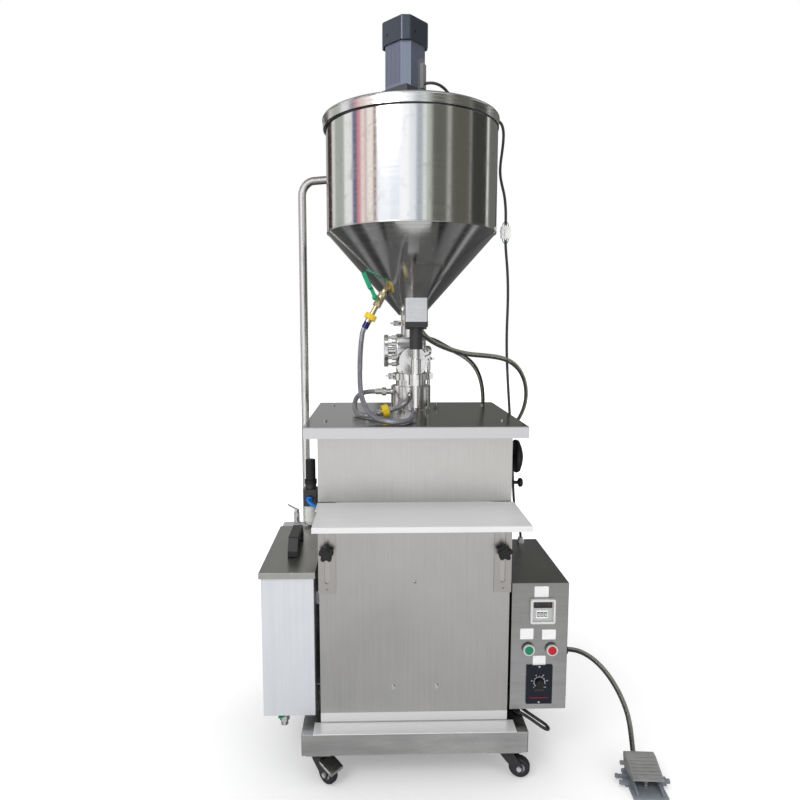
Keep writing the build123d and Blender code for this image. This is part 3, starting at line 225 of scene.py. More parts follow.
    def cyl(self, a, b, r, soft=0.0003):
        """1 inside the flat-ended cylinder of radius r about a-b"""
        a, b = P(*a), P(*b)
        d = b - a
        s = self.node("ShaderNodeVectorMath", operation="SUBTRACT")
        self.link(self.obj, s.inputs[0])
        s.inputs[1].default_value = a
        dot = self.node("ShaderNodeVectorMath", operation="DOT_PRODUCT")
        self.link(s.outputs[0], dot.inputs[0])
        dot.inputs[1].default_value = d / d.length_squared
        sc = self.node("ShaderNodeVectorMath", operation="SCALE")
        sc.inputs[0].default_value = d
        self.link(dot.outputs["Value"], sc.inputs["Scale"])
        df = self.node("ShaderNodeVectorMath", operation="DISTANCE")
        self.link(s.outputs[0], df.inputs[0])
        self.link(sc.outputs[0], df.inputs[1])
        e = soft / d.length
        f = self.span(df.outputs["Value"], r / 1000 - soft, r / 1000 + soft, 1.0, 0.0)
        f = self.math("MULTIPLY", f, self.span(dot.outputs["Value"], -e, e, 0.0, 1.0))
        return self.math("MULTIPLY", f, self.span(dot.outputs["Value"], 1 - e, 1 + e, 1.0, 0.0))

    def color(self, v):
        self.put(self.b.inputs["Base Color"], v if not isinstance(v, tuple) else (*v, 1))

    def rough(self, v):
        self.put(self.b.inputs["Roughness"], v)

    def metal(self, v):
        self.put(self.b.inputs["Metallic"], v)

    def bump(self, h, strength=0.3, dist=0.001):
        n = self.node("ShaderNodeBump")
        n.inputs["Strength"].default_value = strength
        n.inputs["Distance"].default_value = dist
        self.put(n.inputs["Height"], h)
        self.link(n.outputs[0], self.b.inputs["Normal"])
        return n


def brushed(name, tint, rough, grain=(1, 1, 1), depth=0.12, smudge=0.10, lift=0.05, spots=0.0, aniso=0.0):
    """rolled and brushed stainless sheet: long fine grain, soft smears, faint scratches.
    grain gives the frequency along x, y and z: small along the brushing, large across it"""
    m = Mat(name, tint, 1.0, rough)
    m.b.inputs["Anisotropic"].default_value = aniso
    g1 = m.noise(grain, 1.0, 4, 0.65)
    g2 = m.noise(tuple(v * 0.31 for v in grain), 1.0, 3, 0.5, off=(3, 1, 7))
    smear = m.noise((2.2, 2.2, 1.6), 1.0, 5, 0.62, 0.4, off=(1.3, 0.2, 4.4))
    fine = m.noise((9, 9, 7), 1.0, 4, 0.6, 0.2)
    grainv = m.math("ADD", m.math("MULTIPLY", g1, 0.6), m.math("MULTIPLY", g2, 0.4))
    val = m.math("ADD", m.span(grainv, 0.35, 0.65, -depth, depth), m.span(smear, 0.35, 0.7, -smudge, smudge * 0.6))
    dark = tuple(max(0.0, c * (1 - 0.55)) for c in tint)
    light = tuple(min(1.0, c * 1.35 + 0.02) for c in tint)
    col = m.mixc(m.math("ADD", val, 0.5), dark, light)
    m.color(m.mixc(m.span(fine, 0.55, 0.8, 0, spots), col, tuple(c * 0.7 for c in tint)))
    r = m.math("ADD", m.span(grainv, 0.35, 0.65, rough - lift, rough + lift), m.span(smear, 0.4, 0.75, -0.02, 0.07))
    m.rough(r)
    m.bump(grainv, 0.25, 0.00025)
    return m


def polished(name, tint=(0.86, 0.86, 0.85), rough=0.07, ring=(1, 1, 1), wobble=0.25):
    """bright rolled or turned stainless: nearly a mirror, slight ripple and handling marks"""
    m = Mat(name, tint, 1.0, rough)
    g = m.noise(ring, 1.0, 3, 0.6)
    w = m.noise((3.2, 3.2, 0.9), 1.0, 2, 0.5, 0.1)
    s = m.noise((30, 30, 26), 1.0, 5, 0.7)
    c = m.mixc(m.span(s, 0.52, 0.78), tint, tuple(v * 0.78 for v in tint))
    m.color(c)
    m.rough(m.math("ADD", m.span(g, 0.3, 0.7, rough * 0.7, rough * 1.5), m.span(s, 0.5, 0.8, 0, 0.10)))
    h = m.math("ADD", m.math("MULTIPLY", w, wobble), m.math("MULTIPLY", g, 0.008))
    m.bump(h, 0.35, 0.003)
    return m


def plastic(name, col, rough=0.4, grain=0.15, coat=0.0, var=0.12):
    m = Mat(name, col, 0.0, rough, spec=0.35, coat=coat)
    n = m.noise((900, 900, 900), 1.0, 2)
    s = m.noise((22, 22, 22), 1.0, 5, 0.65, 0.3)
    m.color(m.mixc(m.span(s, 0.3, 0.75), tuple(max(0, v * (1 - var)) for v in col), tuple(min(1, v * (1 + var) + 0.003) for v in col)))
    m.rough(m.span(s, 0.3, 0.75, rough - 0.06, rough + 0.10))
    m.bump(n, grain, 0.0002)
    return m


def paint(name, col, rough=0.35):
    m = Mat(name, col, 0.0, rough, coat=0.25, coat_rough=0.25)
    n = m.noise((420, 420, 420), 1.0, 2, 0.5)
    s = m.noise((12, 12, 12), 1.0, 5, 0.65, 0.3)
    m.color(m.mixc(m.span(s, 0.3, 0.75), tuple(v * 0.86 for v in col), tuple(min(1, v * 1.12) for v in col)))
    m.rough(m.span(s, 0.3, 0.75, rough - 0.05, rough + 0.10))
    m.bump(n, 0.12, 0.0003)
    return m


def assign(node, m):
    o = NODES[node]
    o.data.materials.clear()
    o.data.materials.append(m.m)
    for p in o.data.polygons:
        p.material_index = 0


# ------------------------------------------------------------ mesh helpers
def mesh_obj(name, verts, faces, mat, body="machine", smooth=True, uv=None, sharp=32):
    me = bpy.data.meshes.new(name)
    me.from_pydata([tuple(v) for v in verts], [], faces)
    me.update()
    if uv:
        layer = me.uv_layers.new(name="flow")
        for poly in me.polygons:
            for li, vi in zip(poly.loop_indices, poly.vertices):
                layer.data[li].uv = uv[(poly.index, vi)] if (poly.index, vi) in uv else uv.get(vi, (0, 0))
    o = bpy.data.objects.new(name, me)
    coll.objects.link(o)
    if smooth:
        for p in me.polygons:
            p.use_smooth = True
        me.set_sharp_from_angle(angle=math.radians(sharp))
    if mat:
        me.materials.append(mat.m)
    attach(o, body)
    return o


def basis(d):
    d = Vector(d).normalized()
    a = Vector((0, 0, 1)) if abs(d.z) < 0.9 else Vector((1, 0, 0))
    x = a.cross(d).normalized()
    return x, d.cross(x).normalized(), d


def lathe(name, profile, origin, axis, mat, body="machine", n=64, close=False, x0=None, sharp=32):
    """profile of (r, t) in mm turned about the axis through origin (drawing mm)"""
    d = Vector(axis).normalized()
    if x0 is None:
        x, y, d = basis(d)
    else:
        x = (Vector(x0) - Vector(x0).dot(d) * d).normalized()
        y = d.cross(x)
    o = P(*origin)
    verts, faces, rows = [], [], []
    for r, t in profile:
        if r < 1e-6:
            rows.append([len(verts)])
            verts.append(o + d * (t / 1000))
        else:
            rows.append(list(range(len(verts), len(verts) + n)))
            for i in range(n):
                a = 2 * math.pi * i / n
                verts.append(o + (x * math.cos(a) + y * math.sin(a)) * (r / 1000) + d * (t / 1000))
    pairs = list(zip(rows, rows[1:])) + ([(rows[-1], rows[0])] if close else [])
    for a, b in pairs:
        if len(a) == 1 and len(b) == 1:
            continue
        for i in range(n):
            j = (i + 1) % n
            if len(a) == 1:
                faces.append((a[0], b[j], b[i]))
            elif len(b) == 1:
                faces.append((a[i], a[j], b[0]))
            else:
                faces.append((a[i], a[j], b[j], b[i]))
    ob = mesh_obj(name, verts, faces, mat, body, sharp=sharp)
    bm = bmesh.new()
    bm.from_mesh(ob.data)
    bmesh.ops.recalc_face_normals(bm, faces=bm.faces)
    bm.to_mesh(ob.data)
    bm.free()
    ob.data.set_sharp_from_angle(angle=math.radians(sharp))
    return ob


def slab(name, centre, size, mat, body="machine", bevel=0.4, rot=None, corner=0.0, segs=3):
    """bevelled block; with corner > 0 its outline in x-z is a rounded rectangle"""
    bm = bmesh.new()
    sx, sy, sz = (s / 1000 for s in size)
    if corner > 0:
        c = corner / 1000
        pts = []
        for qx, qz, a0 in ((1, 1, 0), (-1, 1, 90), (-1, -1, 180), (1, -1, 270)):
            for k in range(7):
                a = math.radians(a0 + 15 * k)
                pts.append((qx * (sx / 2 - c) + c * math.cos(a), qz * (sz / 2 - c) + c * math.sin(a)))
        vs = [bm.verts.new((x, -sy / 2, z)) for x, z in pts]
        f = bm.faces.new(vs)
        ex = bmesh.ops.extrude_face_region(bm, geom=[f])
        bmesh.ops.translate(bm, vec=(0, sy, 0), verts=[v for v in ex["geom"] if isinstance(v, bmesh.types.BMVert)])
    else:
        bmesh.ops.create_cube(bm, size=1)
        bmesh.ops.scale(bm, vec=(sx, sy, sz), verts=bm.verts)
    if bevel:
        sharp = [e for e in bm.edges if e.is_manifold and e.calc_face_angle(0) > 0.7]
        bmesh.ops.bevel(bm, geom=sharp, offset=bevel / 1000, segments=segs, profile=0.5, affect="EDGES", clamp_overlap=True)
    bmesh.ops.recalc_face_normals(bm, faces=bm.faces)
    me = bpy.data.meshes.new(name)
    bm.to_mesh(me)
    bm.free()
    o = bpy.data.objects.new(name, me)
    coll.objects.link(o)
    me.materials.append(mat.m)
    for p in me.polygons:
        p.use_smooth = True
    me.set_sharp_from_angle(angle=math.radians(35))
    mt = Matrix.Translation(P(*centre))
    if rot is not None:
        mt = mt @ rot.to_4x4()
    o.matrix_world = mt
    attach(o, body)
    return o


def route(pts):
    """points along the smooth NURBS line of a route (drawing mm in, metres out)"""
    cu = nurbs("route_tmp", pts, 0)
    me = bpy.data.meshes.new_from_object(cu)
    out = [cu.matrix_world @ v.co for v in me.vertices]
    bpy.data.objects.remove(cu)
    bpy.data.meshes.remove(me)
    return out


def nurbs(name, pts, r, res=14):
    cd = bpy.data.curves.new(name, "CURVE")
    cd.dimensions = "3D"
    sp = cd.splines.new("NURBS")
    sp.points.add(len(pts) - 1)
    for q, p in zip(sp.points, pts):
        q.co = (*P(*p), 1)
    sp.order_u = 3
    sp.use_endpoint_u = True
    cd.resolution_u = res
    if r:
        cd.bevel_depth = r / 1000
        cd.bevel_resolution = 6
        cd.use_fill_caps = True
    o = bpy.data.objects.new(name, cd)
    coll.objects.link(o)
    return o


def along(path, step):
    """the same line at even spacing"""
    d = [0.0]
    for a, b in zip(path, path[1:]):
        d.append(d[-1] + (b - a).length)
    n = max(2, int(round(d[-1] / step)))
    out, k = [], 0
    for i in range(n + 1):
        s = d[-1] * i / n
        while k < len(d) - 2 and d[k + 1] < s:
            k += 1
        t = (s - d[k]) / max(1e-12, d[k + 1] - d[k])
        out.append(path[k].lerp(path[k + 1], min(1, max(0, t))))
    return out


def frames(path, side=None):
    """tangent, side and up at each point, carried along without twist"""
    out = []
    T = (path[1] - path[0]).normalized()
    s = Vector(side) if side else basis(T)[0]
    s = (s - s.dot(T) * T).normalized()
    for i, p in enumerate(path):
        a, b = path[max(0, i - 1)], path[min(len(path) - 1, i + 1)]
        T = (b - a).normalized()
        s = (s - s.dot(T) * T).normalized()
        out.append((p, T, s, T.cross(s)))
    return out


def length(path):
    return sum((b - a).length for a, b in zip(path, path[1:]))


def braided(name, path, r, mat, body="machine", ring=40, step=0.0011, strands=12, pitch=0.026, relief=0.00042):
    """mesh tube with the over-and-under relief of a wire braid"""
    pts = along(path, step)
    fr = frames(pts)
    verts, faces, uv = [], [], {}
    s = 0.0
    for i, (p, T, a, b) in enumerate(fr):
        if i:
            s += (pts[i] - pts[i - 1]).length
        for k in range(ring):
            ang = 2 * math.pi * k / ring
            u = strands * ang / (2 * math.pi)
            v = strands * s / pitch
            p1, p2 = (u + v), (u - v)
            w1, w2 = abs(math.sin(math.pi * p1)), abs(math.sin(math.pi * p2))
            over = math.sin(math.pi * (p1 + p2) * 0.5) * math.sin(math.pi * (p1 - p2) * 0.5)
            h = w1 ** 0.5 * (0.6 + 0.4 * (over > 0)) if over > 0 else w2 ** 0.5 * (0.6 + 0.4)
            rr = r - relief * (1 - h)
            verts.append(p + (a * math.cos(ang) + b * math.sin(ang)) * rr)
            uv[len(verts) - 1] = (p1, p2)
    for i in range(len(fr) - 1):
        for k in range(ring):
            j = (k + 1) % ring
            faces.append((i * ring + k, i * ring + j, (i + 1) * ring + j, (i + 1) * ring + k))
    for i, flip in ((0, True), (len(fr) - 1, False)):
        verts.append(fr[i][0])
        c = len(verts) - 1
        uv[c] = (0, 0)
        for k in range(ring):
            j = (k + 1) % ring
            f = (c, i * ring + j, i * ring + k) if flip else (c, i * ring + k, i * ring + j)
            faces.append(f)
    # uv by corner so that the seam does not fold back
    full = {}
    for fi, f in enumerate(faces):
        us = [uv[v] for v in f]
        m = max(u[0] + u[1] for u in us)
        for v, u in zip(f, us):
            wrap = strands if (m - (u[0] + u[1])) > strands else 0
            full[(fi, v)] = (u[0] + wrap, u[1] + wrap)
    return mesh_obj(name, verts, faces, mat, body, uv=full, sharp=60)


def tube(name, path, r, mat, body="machine", ring=20, step=0.003):
    pts = along(path, step)
    fr = frames(pts)
    verts, faces = [], []
    for p, T, a, b in fr:
        for k in range(ring):
            ang = 2 * math.pi * k / ring
            verts.append(p + (a * math.cos(ang) + b * math.sin(ang)) * r)
    for i in range(len(fr) - 1):
        for k in range(ring):
            j = (k + 1) % ring
            faces.append((i * ring + k, i * ring + j, (i + 1) * ring + j, (i + 1) * ring + k))
    faces.append(tuple(reversed(range(ring))))
    faces.append(tuple(range((len(fr) - 1) * ring, len(fr) * ring)))
    return mesh_obj(name, verts, faces, mat, body, sharp=50), pts


# ------------------------------------------------------------ cord finishes
def braid_mat(name, light, dark):
    m = Mat(name, light, 0.55, 0.28)
    uvn = m.node("ShaderNodeUVMap", uv_map="flow")
    o = m.xyz(uvn.outputs[0])
    # wires inside each band, then the bands themselves
    w1 = m.math("ABSOLUTE", m.math("SINE", m.math("MULTIPLY", o[0], math.pi * 5)))
    w2 = m.math("ABSOLUTE", m.math("SINE", m.math("MULTIPLY", o[1], math.pi * 5)))
    wires = m.math("MULTIPLY", w1, w2)
    b1 = m.math("ABSOLUTE", m.math("SINE", m.math("MULTIPLY", o[0], math.pi)))
    b2 = m.math("ABSOLUTE", m.math("SINE", m.math("MULTIPLY", o[1], math.pi)))
    bands = m.math("MULTIPLY", b1, b2)
    n = m.noise((60, 60, 60), 1.0, 3)
    f = m.math("MULTIPLY", m.span(bands, 0.05, 0.5), m.span(wires, 0.0, 0.7, 0.45, 1.0))
    m.color(m.mixc(m.math("MULTIPLY", f, m.span(n, 0.3, 0.7, 0.75, 1.0)), dark, light))
    m.rough(m.span(f, 0, 1, 0.5, 0.22))
    m.bump(wires, 0.15, 0.0003)
    return m


def sheath(name, col, rough=0.35, coat=0.2, var=0.2):
    m = Mat(name, col, 0.0, rough, coat=coat, coat_rough=0.2)
    s = m.noise((40, 40, 40), 1.0, 4, 0.6)
    f = m.noise((700, 700, 700), 1.0, 2)
    m.color(m.mixc(m.span(s, 0.3, 0.75), tuple(v * (1 - var) for v in col), tuple(min(1, v * (1 + var) + 0.01) for v in col)))
    m.rough(m.span(s, 0.3, 0.75, rough - 0.05, rough + 0.12))
    m.bump(f, 0.08, 0.0002)
    return m


M_BRAID = braid_mat("braided_wire", (0.78, 0.78, 0.80), (0.05, 0.05, 0.06))
M_BRAID_D = braid_mat("braided_wire_dark", (0.66, 0.67, 0.72), (0.05, 0.05, 0.08))
M_BLACK_TUBE = sheath("black_tube", (0.018, 0.018, 0.020), 0.28, 0.4)
M_OLIVE_TUBE = sheath("olive_tube", (0.17, 0.165, 0.13), 0.30, 0.4)
M_CABLE = sheath("black_sheath", (0.022, 0.022, 0.026), 0.42, 0.1)
M_LEAD = sheath("mains_sheath", (0.028, 0.027, 0.027), 0.5, 0.05)

# --------------------------------------------------------- routes (mm)
UD = Vector((0.94, 0.20, 0.24)).normalized()
UC = Vector((-68, 106, 871.3))


def un(t):
    return tuple(UC + UD * t)


A = [(-120.1, 229.4, 1073.5), (-124.4, 228.5, 1065.7), (-126.5, 224.0, 1053.4), (-129.2, 214.5, 1031.0), (-130.8, 197.2, 1001.7), (-131.0, 175.6, 975.2),
     (-130.7, 152.5, 950.0), (-129.2, 127.6, 926.6), (-125.1, 101.1, 905.5), (-116.9, 73.3, 887.4), (-104.6, 44.9, 873.0), (-86.6, 17.5, 863.9),
     (-66.7, 0.4, 861.4), (-51.7, -4.6, 861.0), (-38.8, -3.5, 861.0), (-27.2, 2.9, 861.0), (-15.1, 18.7, 861.2), (-5.2, 49.6, 862.1),
     (0.7, 83.1, 865.3), (4.7, 116.4, 871.7), (7.4, 149.4, 880.2), (7.9, 173.2, 886.5), (8.0, 186.7, 890.0), (8.0, 195.7, 890.0)]
B = [(-92.3, 290, 901), (-104, 290, 901), (-119, 286.5, 899.7), (-132, 276.5, 896), (-141, 260, 890.5), (-145.5, 238, 882), (-146.5, 214, 874.5), (-145, 190, 868.5),
     (-142, 166, 864.3), (-138, 144, 862), (-133, 128, 861.2), (-125.5, 113.5, 861.2), (-115, 102.8, 861.2), un(-36.5), un(-22.4)]
CH = [un(18.3), un(30), (-28, 115, 882.6), (-18, 115.5, 890), (-12, 112.3, 898.4), (-7.9, 105, 906.7)]
U = [(14.0, 109.0, 1088.6), (14.0, 109.0, 1079.6), (19.7, 109.9, 1067.5), (32.8, 111.2, 1050.6), (59.3, 112.1, 1034.5), (89.2, 113.3, 1022.6),
     (119.6, 117.4, 1013.0), (149.7, 127.9, 1008.5), (177.6, 143.7, 1005.8), (203.5, 162.5, 1002.6), (228.2, 182.7, 998.2), (252.3, 202.9, 991.0),
     (274.6, 222.5, 978.7), (293.9, 240.8, 960.6), (308.9, 256.1, 936.7), (317.7, 267.2, 907.9), (319.1, 273.9, 876.6), (311.5, 276.5, 845.5),
     (296.2, 277.0, 817.2), (274.5, 277.0, 793.5), (250.1, 277.0, 780.4), (234.0, 277.0, 777.0), (225.0, 277.0, 777.0)]
LWR = [(50.3, 367.0, 1044.0), (60.0, 367.0, 1043.4), (72.0, 364.3, 1040.2), (88.0, 356.8, 1032.6), (107.0, 346.8, 1021.2), (129.2, 338.5, 1009.2),
       (153.0, 335.4, 996.6), (174.5, 339.6, 981.4), (191.6, 350.9, 962.2), (204.1, 366.1, 941.5), (213.2, 383.4, 921.0), (220.3, 402.8, 900.3),
       (225.7, 420.6, 878.9), (229.4, 436.8, 856.0), (230.1, 448.3, 830.2), (225.8, 450.0, 808.9), (219.8, 446.8, 795.0), (213.2, 438.4, 784.4),
       (206.9, 422.0, 775.7), (204.0, 409.3, 772.0), (204.0, 400.3, 772.0)]
MC1 = [(38.3, 268.3, 1698.0), (47.2, 263.8, 1698.0), (61.0, 260.4, 1696.4), (75.8, 261.8, 1692.0), (90.5, 268.0, 1684.0), (107.0, 277.5, 1668.5), (124.5, 284.0, 1650.5),
     (143.5, 287.6, 1634.0), (163.5, 289.2, 1622.5), (185.0, 289.9, 1617.6), (207.5, 290.0, 1616.7), (225.5, 290.0, 1616.8), (236.6, 290.0, 1611.9), (243.8, 290.0, 1602.1), (247.6, 290.0, 1583.6),
     (246.7, 290.0, 1557.4), (243.7, 290.0, 1531.3), (240.4, 290.0, 1505.2), (239.7, 290.0, 1479.0), (244.6, 290.0, 1453.3), (251.8, 290.0, 1428.0),
     (255.7, 290.0, 1402.1), (257.3, 290.0, 1375.9), (257.5, 290.3, 1356.3), (257.5, 290.5, 1347.3)]
MC2 = [(258.0, 290.0, 1307.7), (258.1, 290.0, 1296.7), (260.1, 290.0, 1272.6), (264.7, 290.0, 1228.6), (267.4, 290.0, 1175.4), (267.4, 290.0, 1122.0),
       (266.1, 290.0, 1068.7), (266.8, 290.0, 1015.4), (269.5, 290.0, 962.1), (273.3, 290.0, 908.9), (277.5, 290.0, 855.8), (281.7, 290.0, 802.6),
       (285.8, 290.0, 749.4), (289.6, 290.0, 696.2), (292.3, 290.0, 643.0), (295.7, 290.0, 589.7), (303.4, 290.0, 540.6), (311.8, 290.0, 512.4),
       (317.0, 290.0, 497.3), (317.0, 290.0, 486.3)]
P2 = [(384.3, 55.0, 277.0), (395.3, 55.0, 277.0), (417.7, 55.0, 271.5), (443.3, 55.8, 256.7), (465.7, 56.6, 237.1), (485.3, 56.4, 215.3),
     (502.2, 55.0, 191.4), (517.0, 51.8, 165.9), (529.2, 47.4, 139.2), (538.6, 42.0, 111.6), (543.8, 36.2, 83.6), (546.2, 30.4, 56.0),
     (547.0, 24.2, 36.0), (546.2, 15.6, 22.6), (545.1, 4.0, 17.0), (544.3, -7.0, 17.0)]
PC = [(225.3, 300.0, 146.5), (232.3, 300.0, 146.5), (240.7, 295.3, 143.0), (246.8, 285.7, 139.0), (249.2, 270.5, 135.5), (248.5, 241.1, 131.8),
      (244.9, 200.9, 131.9), (241.3, 160.7, 132.1), (239.6, 120.3, 131.9), (238.9, 80.0, 132.7), (243.6, 46.2, 134.0), (255.4, 25.9, 134.1),
      (267.5, 16.5, 132.5), (279.6, 11.9, 127.0), (299.9, 8.5, 113.2), (317.0, 7.0, 101.3), (326.9, 8.4, 95.5), (333.3, 15.1, 92.9),
      (330.6, 24.0, 95.2), (322.2, 27.7, 100.8), (306.8, 29.1, 110.8), (287.2, 31.7, 123.8), (275.2, 37.6, 130.3), (267.8, 45.5, 132.6),
      (260.6, 62.2, 132.9), (255.9, 95.0, 131.9), (255.6, 135.3, 132.0), (257.9, 175.6, 132.1), (259.6, 216.0, 132.0), (259.9, 256.4, 132.1),
      (257.5, 296.6, 132.0), (251.6, 336.6, 132.1), (244.3, 376.3, 132.2), (237.8, 413.4, 134.1), (235.2, 435.7, 135.4), (234.1, 448.5, 133.4),
      (233.0, 458.9, 126.7), (232.1, 466.9, 114.4), (231.6, 470.7, 93.8), (230.8, 471.1, 58.1), (227.7, 472.9, 31.8), (222.9, 477.1, 18.3),
      (216.0, 484.3, 9.6), (206.5, 492.3, 5.6), (193.0, 503.4, 4.2), (176.0, 517.2, 4.2), (161.0, 529.4, 4.2)]
# the coil: a layer of turns inwards, a layer outwards on top, then off to the plug
CX, CY = 108.5, 499.9
LAY1, CLIMB, LAY2 = 2.83, 0.15, 2.128
TURNS = LAY1 + CLIMB + LAY2
for i in range(1, int(TURNS * 20) + 1):
    t = i / int(TURNS * 20) * TURNS
    if t < LAY1:
        r, z = 56.0 - 7.66 * t, 4.2
    elif t < LAY1 + CLIMB:
        r, z = 56.0 - 7.66 * LAY1, 4.2 + 7.7 * (t - LAY1) / CLIMB
    else:
        r, z = 56.0 - 7.66 * LAY1 + 7.66 * (t - LAY1 - CLIMB), 11.9
    ang = math.radians(51) + t * 2 * math.pi
    PC.append((CX + r / 0.988 * math.cos(ang), CY + r / 0.988 * math.sin(ang), z))
PC += [(90.0, 551.2, 11.9), (76.0, 550.8, 11.8), (63.0, 550.4, 10.6), (55.0, 550.4, 10.0), (48.3, 550.4, 10.0)]

# ------------------------------------------------------------- cord pieces
hose_in_path = route(A)
hose_in = braided("hose_inlet", hose_in_path, 0.0064, M_BRAID_D)
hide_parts("braided_hose_inlet")
along(hose_in_path, 0.004)
hose_out_path = route(B)
hose_out = braided("hose_outlet", hose_out_path, 0.0064, M_BRAID)
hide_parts("braided_hose_outlet")
along(hose_out_path, 0.004)
hose_noz_path = route(CH)
hose_noz = braided("hose_nozzle", hose_noz_path, 0.0064, M_BRAID)
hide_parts("braided_hose_nozzle")
if length(hose_noz_path) >= 0.0781:
    along(hose_noz_path, 0.003)


def twin(name, pts, node, side, mats, gap=3.15, r=3.0):
    """two air tubes side by side, each its own cord"""
    path = along(route(pts), 0.004)
    fr = frames(path, side)
    for k, (s, mt) in enumerate(zip((-1, 1), mats)):
        own = [p + sd * (s * gap / 1000) for p, T, sd, u in fr]
        o, q = tube(f"{name}_{'ab'[k]}", own, r / 1000, mt)
        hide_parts(node)


twin("air_tube_nozzle", U, "air_tubes_nozzle", (1, 0, 0), (M_BLACK_TUBE, M_OLIVE_TUBE))
twin("air_tube_valve", LWR, "air_tubes_valve", (0, 0.2, 1), (M_OLIVE_TUBE, M_BLACK_TUBE))
twin("air_tube_pedal", P2, "pedal_air_tubes", (0, 0, 1), (M_BLACK_TUBE, M_OLIVE_TUBE))

lead_up = nurbs("motor_lead_upper", MC1, 3.6)
lead_up.data.materials.append(M_CABLE.m)
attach(lead_up, "machine")
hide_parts("motor_cable")
lead_dn = nurbs("motor_lead_lower", MC2, 3.6)
lead_dn.data.materials.append(M_CABLE.m)
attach(lead_dn, "machine")
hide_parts("motor_cable")

mains = nurbs("mains_lead", PC, 3.75, 8)
mains.data.materials.append(M_LEAD.m)
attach(mains, "machine")
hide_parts("power_cord", "power_cord_coil")
MAINS_LENGTH = length(route(PC))
print("mains lead length", round(MAINS_LENGTH, 3))

# ============================================================ finishes
STEEL = (0.60, 0.595, 0.58)
M_SATIN = brushed("satin_sheet", (0.56, 0.55, 0.535), 0.34, (70, 70, 6), 0.10, 0.12, 0.06)
M_CAB = brushed("cabinet_sheet", (0.64, 0.63, 0.61), 0.33, (600, 600, 8), 0.05, 0.12, 0.04)
M_TRAY = brushed("tray_sheet", (0.62, 0.61, 0.59), 0.26, (8, 60, 60), 0.10, 0.22, 0.06, 0.3)
M_TOP = brushed("top_plate_sheet", (0.50, 0.50, 0.49), 0.17, (5, 60, 60), 0.08, 0.14, 0.04, 0.2)
M_SHELF = brushed("shelf_sheet", (0.88, 0.88, 0.88), 0.36, (5, 80, 60), 0.05, 0.08, 0.06, 0.15)
M_SHELF.metal(0.35)
M_TANK = brushed("tank_sheet", (0.78, 0.86, 1.0), 0.38, (300, 300, 6), 0.05, 0.08, 0.05)
M_TANK.metal(0.35)
M_LIDT = brushed("tank_lid_sheet", (0.50, 0.50, 0.47), 0.30, (60, 6, 60), 0.08, 0.14, 0.05)
M_BOX = brushed("box_sheet", (0.36, 0.36, 0.35), 0.30, (6, 6, 90), 0.08, 0.15, 0.05)
M_BRIGHT = polished("bright_sheet", (0.84, 0.835, 0.825), 0.20, (2, 2, 240), 0.10)
M_HOPPER = polished("hopper_sheet", (0.82, 0.815, 0.80), 0.11, (1.5, 1.5, 320), 0.10)
M_TURNED = polished("turned_steel", (0.74, 0.735, 0.72), 0.16, (400, 400, 500), 0.02)
M_PIPE = polished("pipe_steel", (0.72, 0.715, 0.70), 0.20, (300, 300, 30), 0.02)
M_ZINC = polished("zinc_screws", (0.62, 0.62, 0.60), 0.24, (700, 700, 700), 0.02)
M_ALU = brushed("anodised_aluminium", (0.78, 0.79, 0.79), 0.30, (60, 60, 700), 0.10, 0.06, 0.05)
M_MOTOR = paint("motor_enamel", (0.020, 0.023, 0.030), 0.33)
M_GREY = paint("grey_enamel", (0.28, 0.28, 0.28), 0.4)
M_BLACK = plastic("black_nylon", (0.010, 0.010, 0.011), 0.42, 0.25)
M_GLOSSB = plastic("black_gloss", (0.008, 0.008, 0.009), 0.16, 0.05, 0.4)
M_WHITE = plastic("white_plastic", (0.78, 0.78, 0.76), 0.42, 0.1, 0.1, 0.05)
M_LABEL = plastic("label_stock", (0.80, 0.80, 0.80), 0.5, 0.05, 0.0, 0.04)
M_GREEN = plastic("green_lens", (0.0, 0.21, 0.09), 0.26, 0.05, 0.05)
M_RED = plastic("red_lens", (0.46, 0.004, 0.016), 0.26, 0.05, 0.05)
M_GRIP = plastic("green_sleeve", (0.0, 0.27, 0.13), 0.36, 0.3, 0.2)
M_BLUE = plastic("blue_tube", (0.0, 0.22, 0.75), 0.2, 0.03, 0.5)
M_YELLOW = plastic("yellow_paint", (0.82, 0.55, 0.01), 0.34, 0.3, 0.2)
M_RUBBER = plastic("tyre_rubber", (0.010, 0.010, 0.011), 0.38, 0.35)
M_COPPER_IN = plastic("wire_ends", (0.55, 0.30, 0.10), 0.3)
M_SPRING = polished("spring_wire", (0.55, 0.55, 0.54), 0.25, (500, 500, 500), 0.02)

# single-finish nodes; the fine shading on sheet edges is painted highlight, a paler tint masked onto the folded edges
# below
for node, m in (("top_plate", M_TOP), ("base_tray", M_TRAY), ("cabinet_shell", M_CAB), ("shelf", M_SHELF), ("tank_body", M_TANK),
                ("hopper", M_HOPPER), ("hopper_lid", M_BRIGHT), ("lid_hatch", M_BRIGHT), ("material_cylinder", M_TURNED), ("valve_body", M_TURNED),
                ("tri_clamps", M_TURNED), ("nozzle_body", M_TURNED), ("nozzle_needle", M_TURNED), ("agitator", M_TURNED), ("piston", M_TURNED),
                ("valve_rotor", M_TURNED), ("valve_push_rod", M_TURNED), ("tank_pipework", M_PIPE), ("tank_cock_lever", M_BRIGHT),
                ("stroke_handwheel", M_BLACK), ("fasteners", M_ZINC), ("drive_cylinder", M_ALU), ("tank_drain_lever", M_GRIP),
                ("jacket_valve_lever", M_GRIP), ("regulator_knob", M_BLACK), ("stroke_lock_knob", M_BLACK), ("star_knob_left", M_BLACK),
                ("star_knob_right", M_BLACK), ("speed_knob", M_BLACK), ("power_plug", M_BLACK), ("control_box", M_BOX), ("green_button", M_GREEN),
                ("red_button", M_RED), ("castor_brake_front_left", M_ZINC), ("pedal_spring", M_SPRING)):
    assign(node, m)


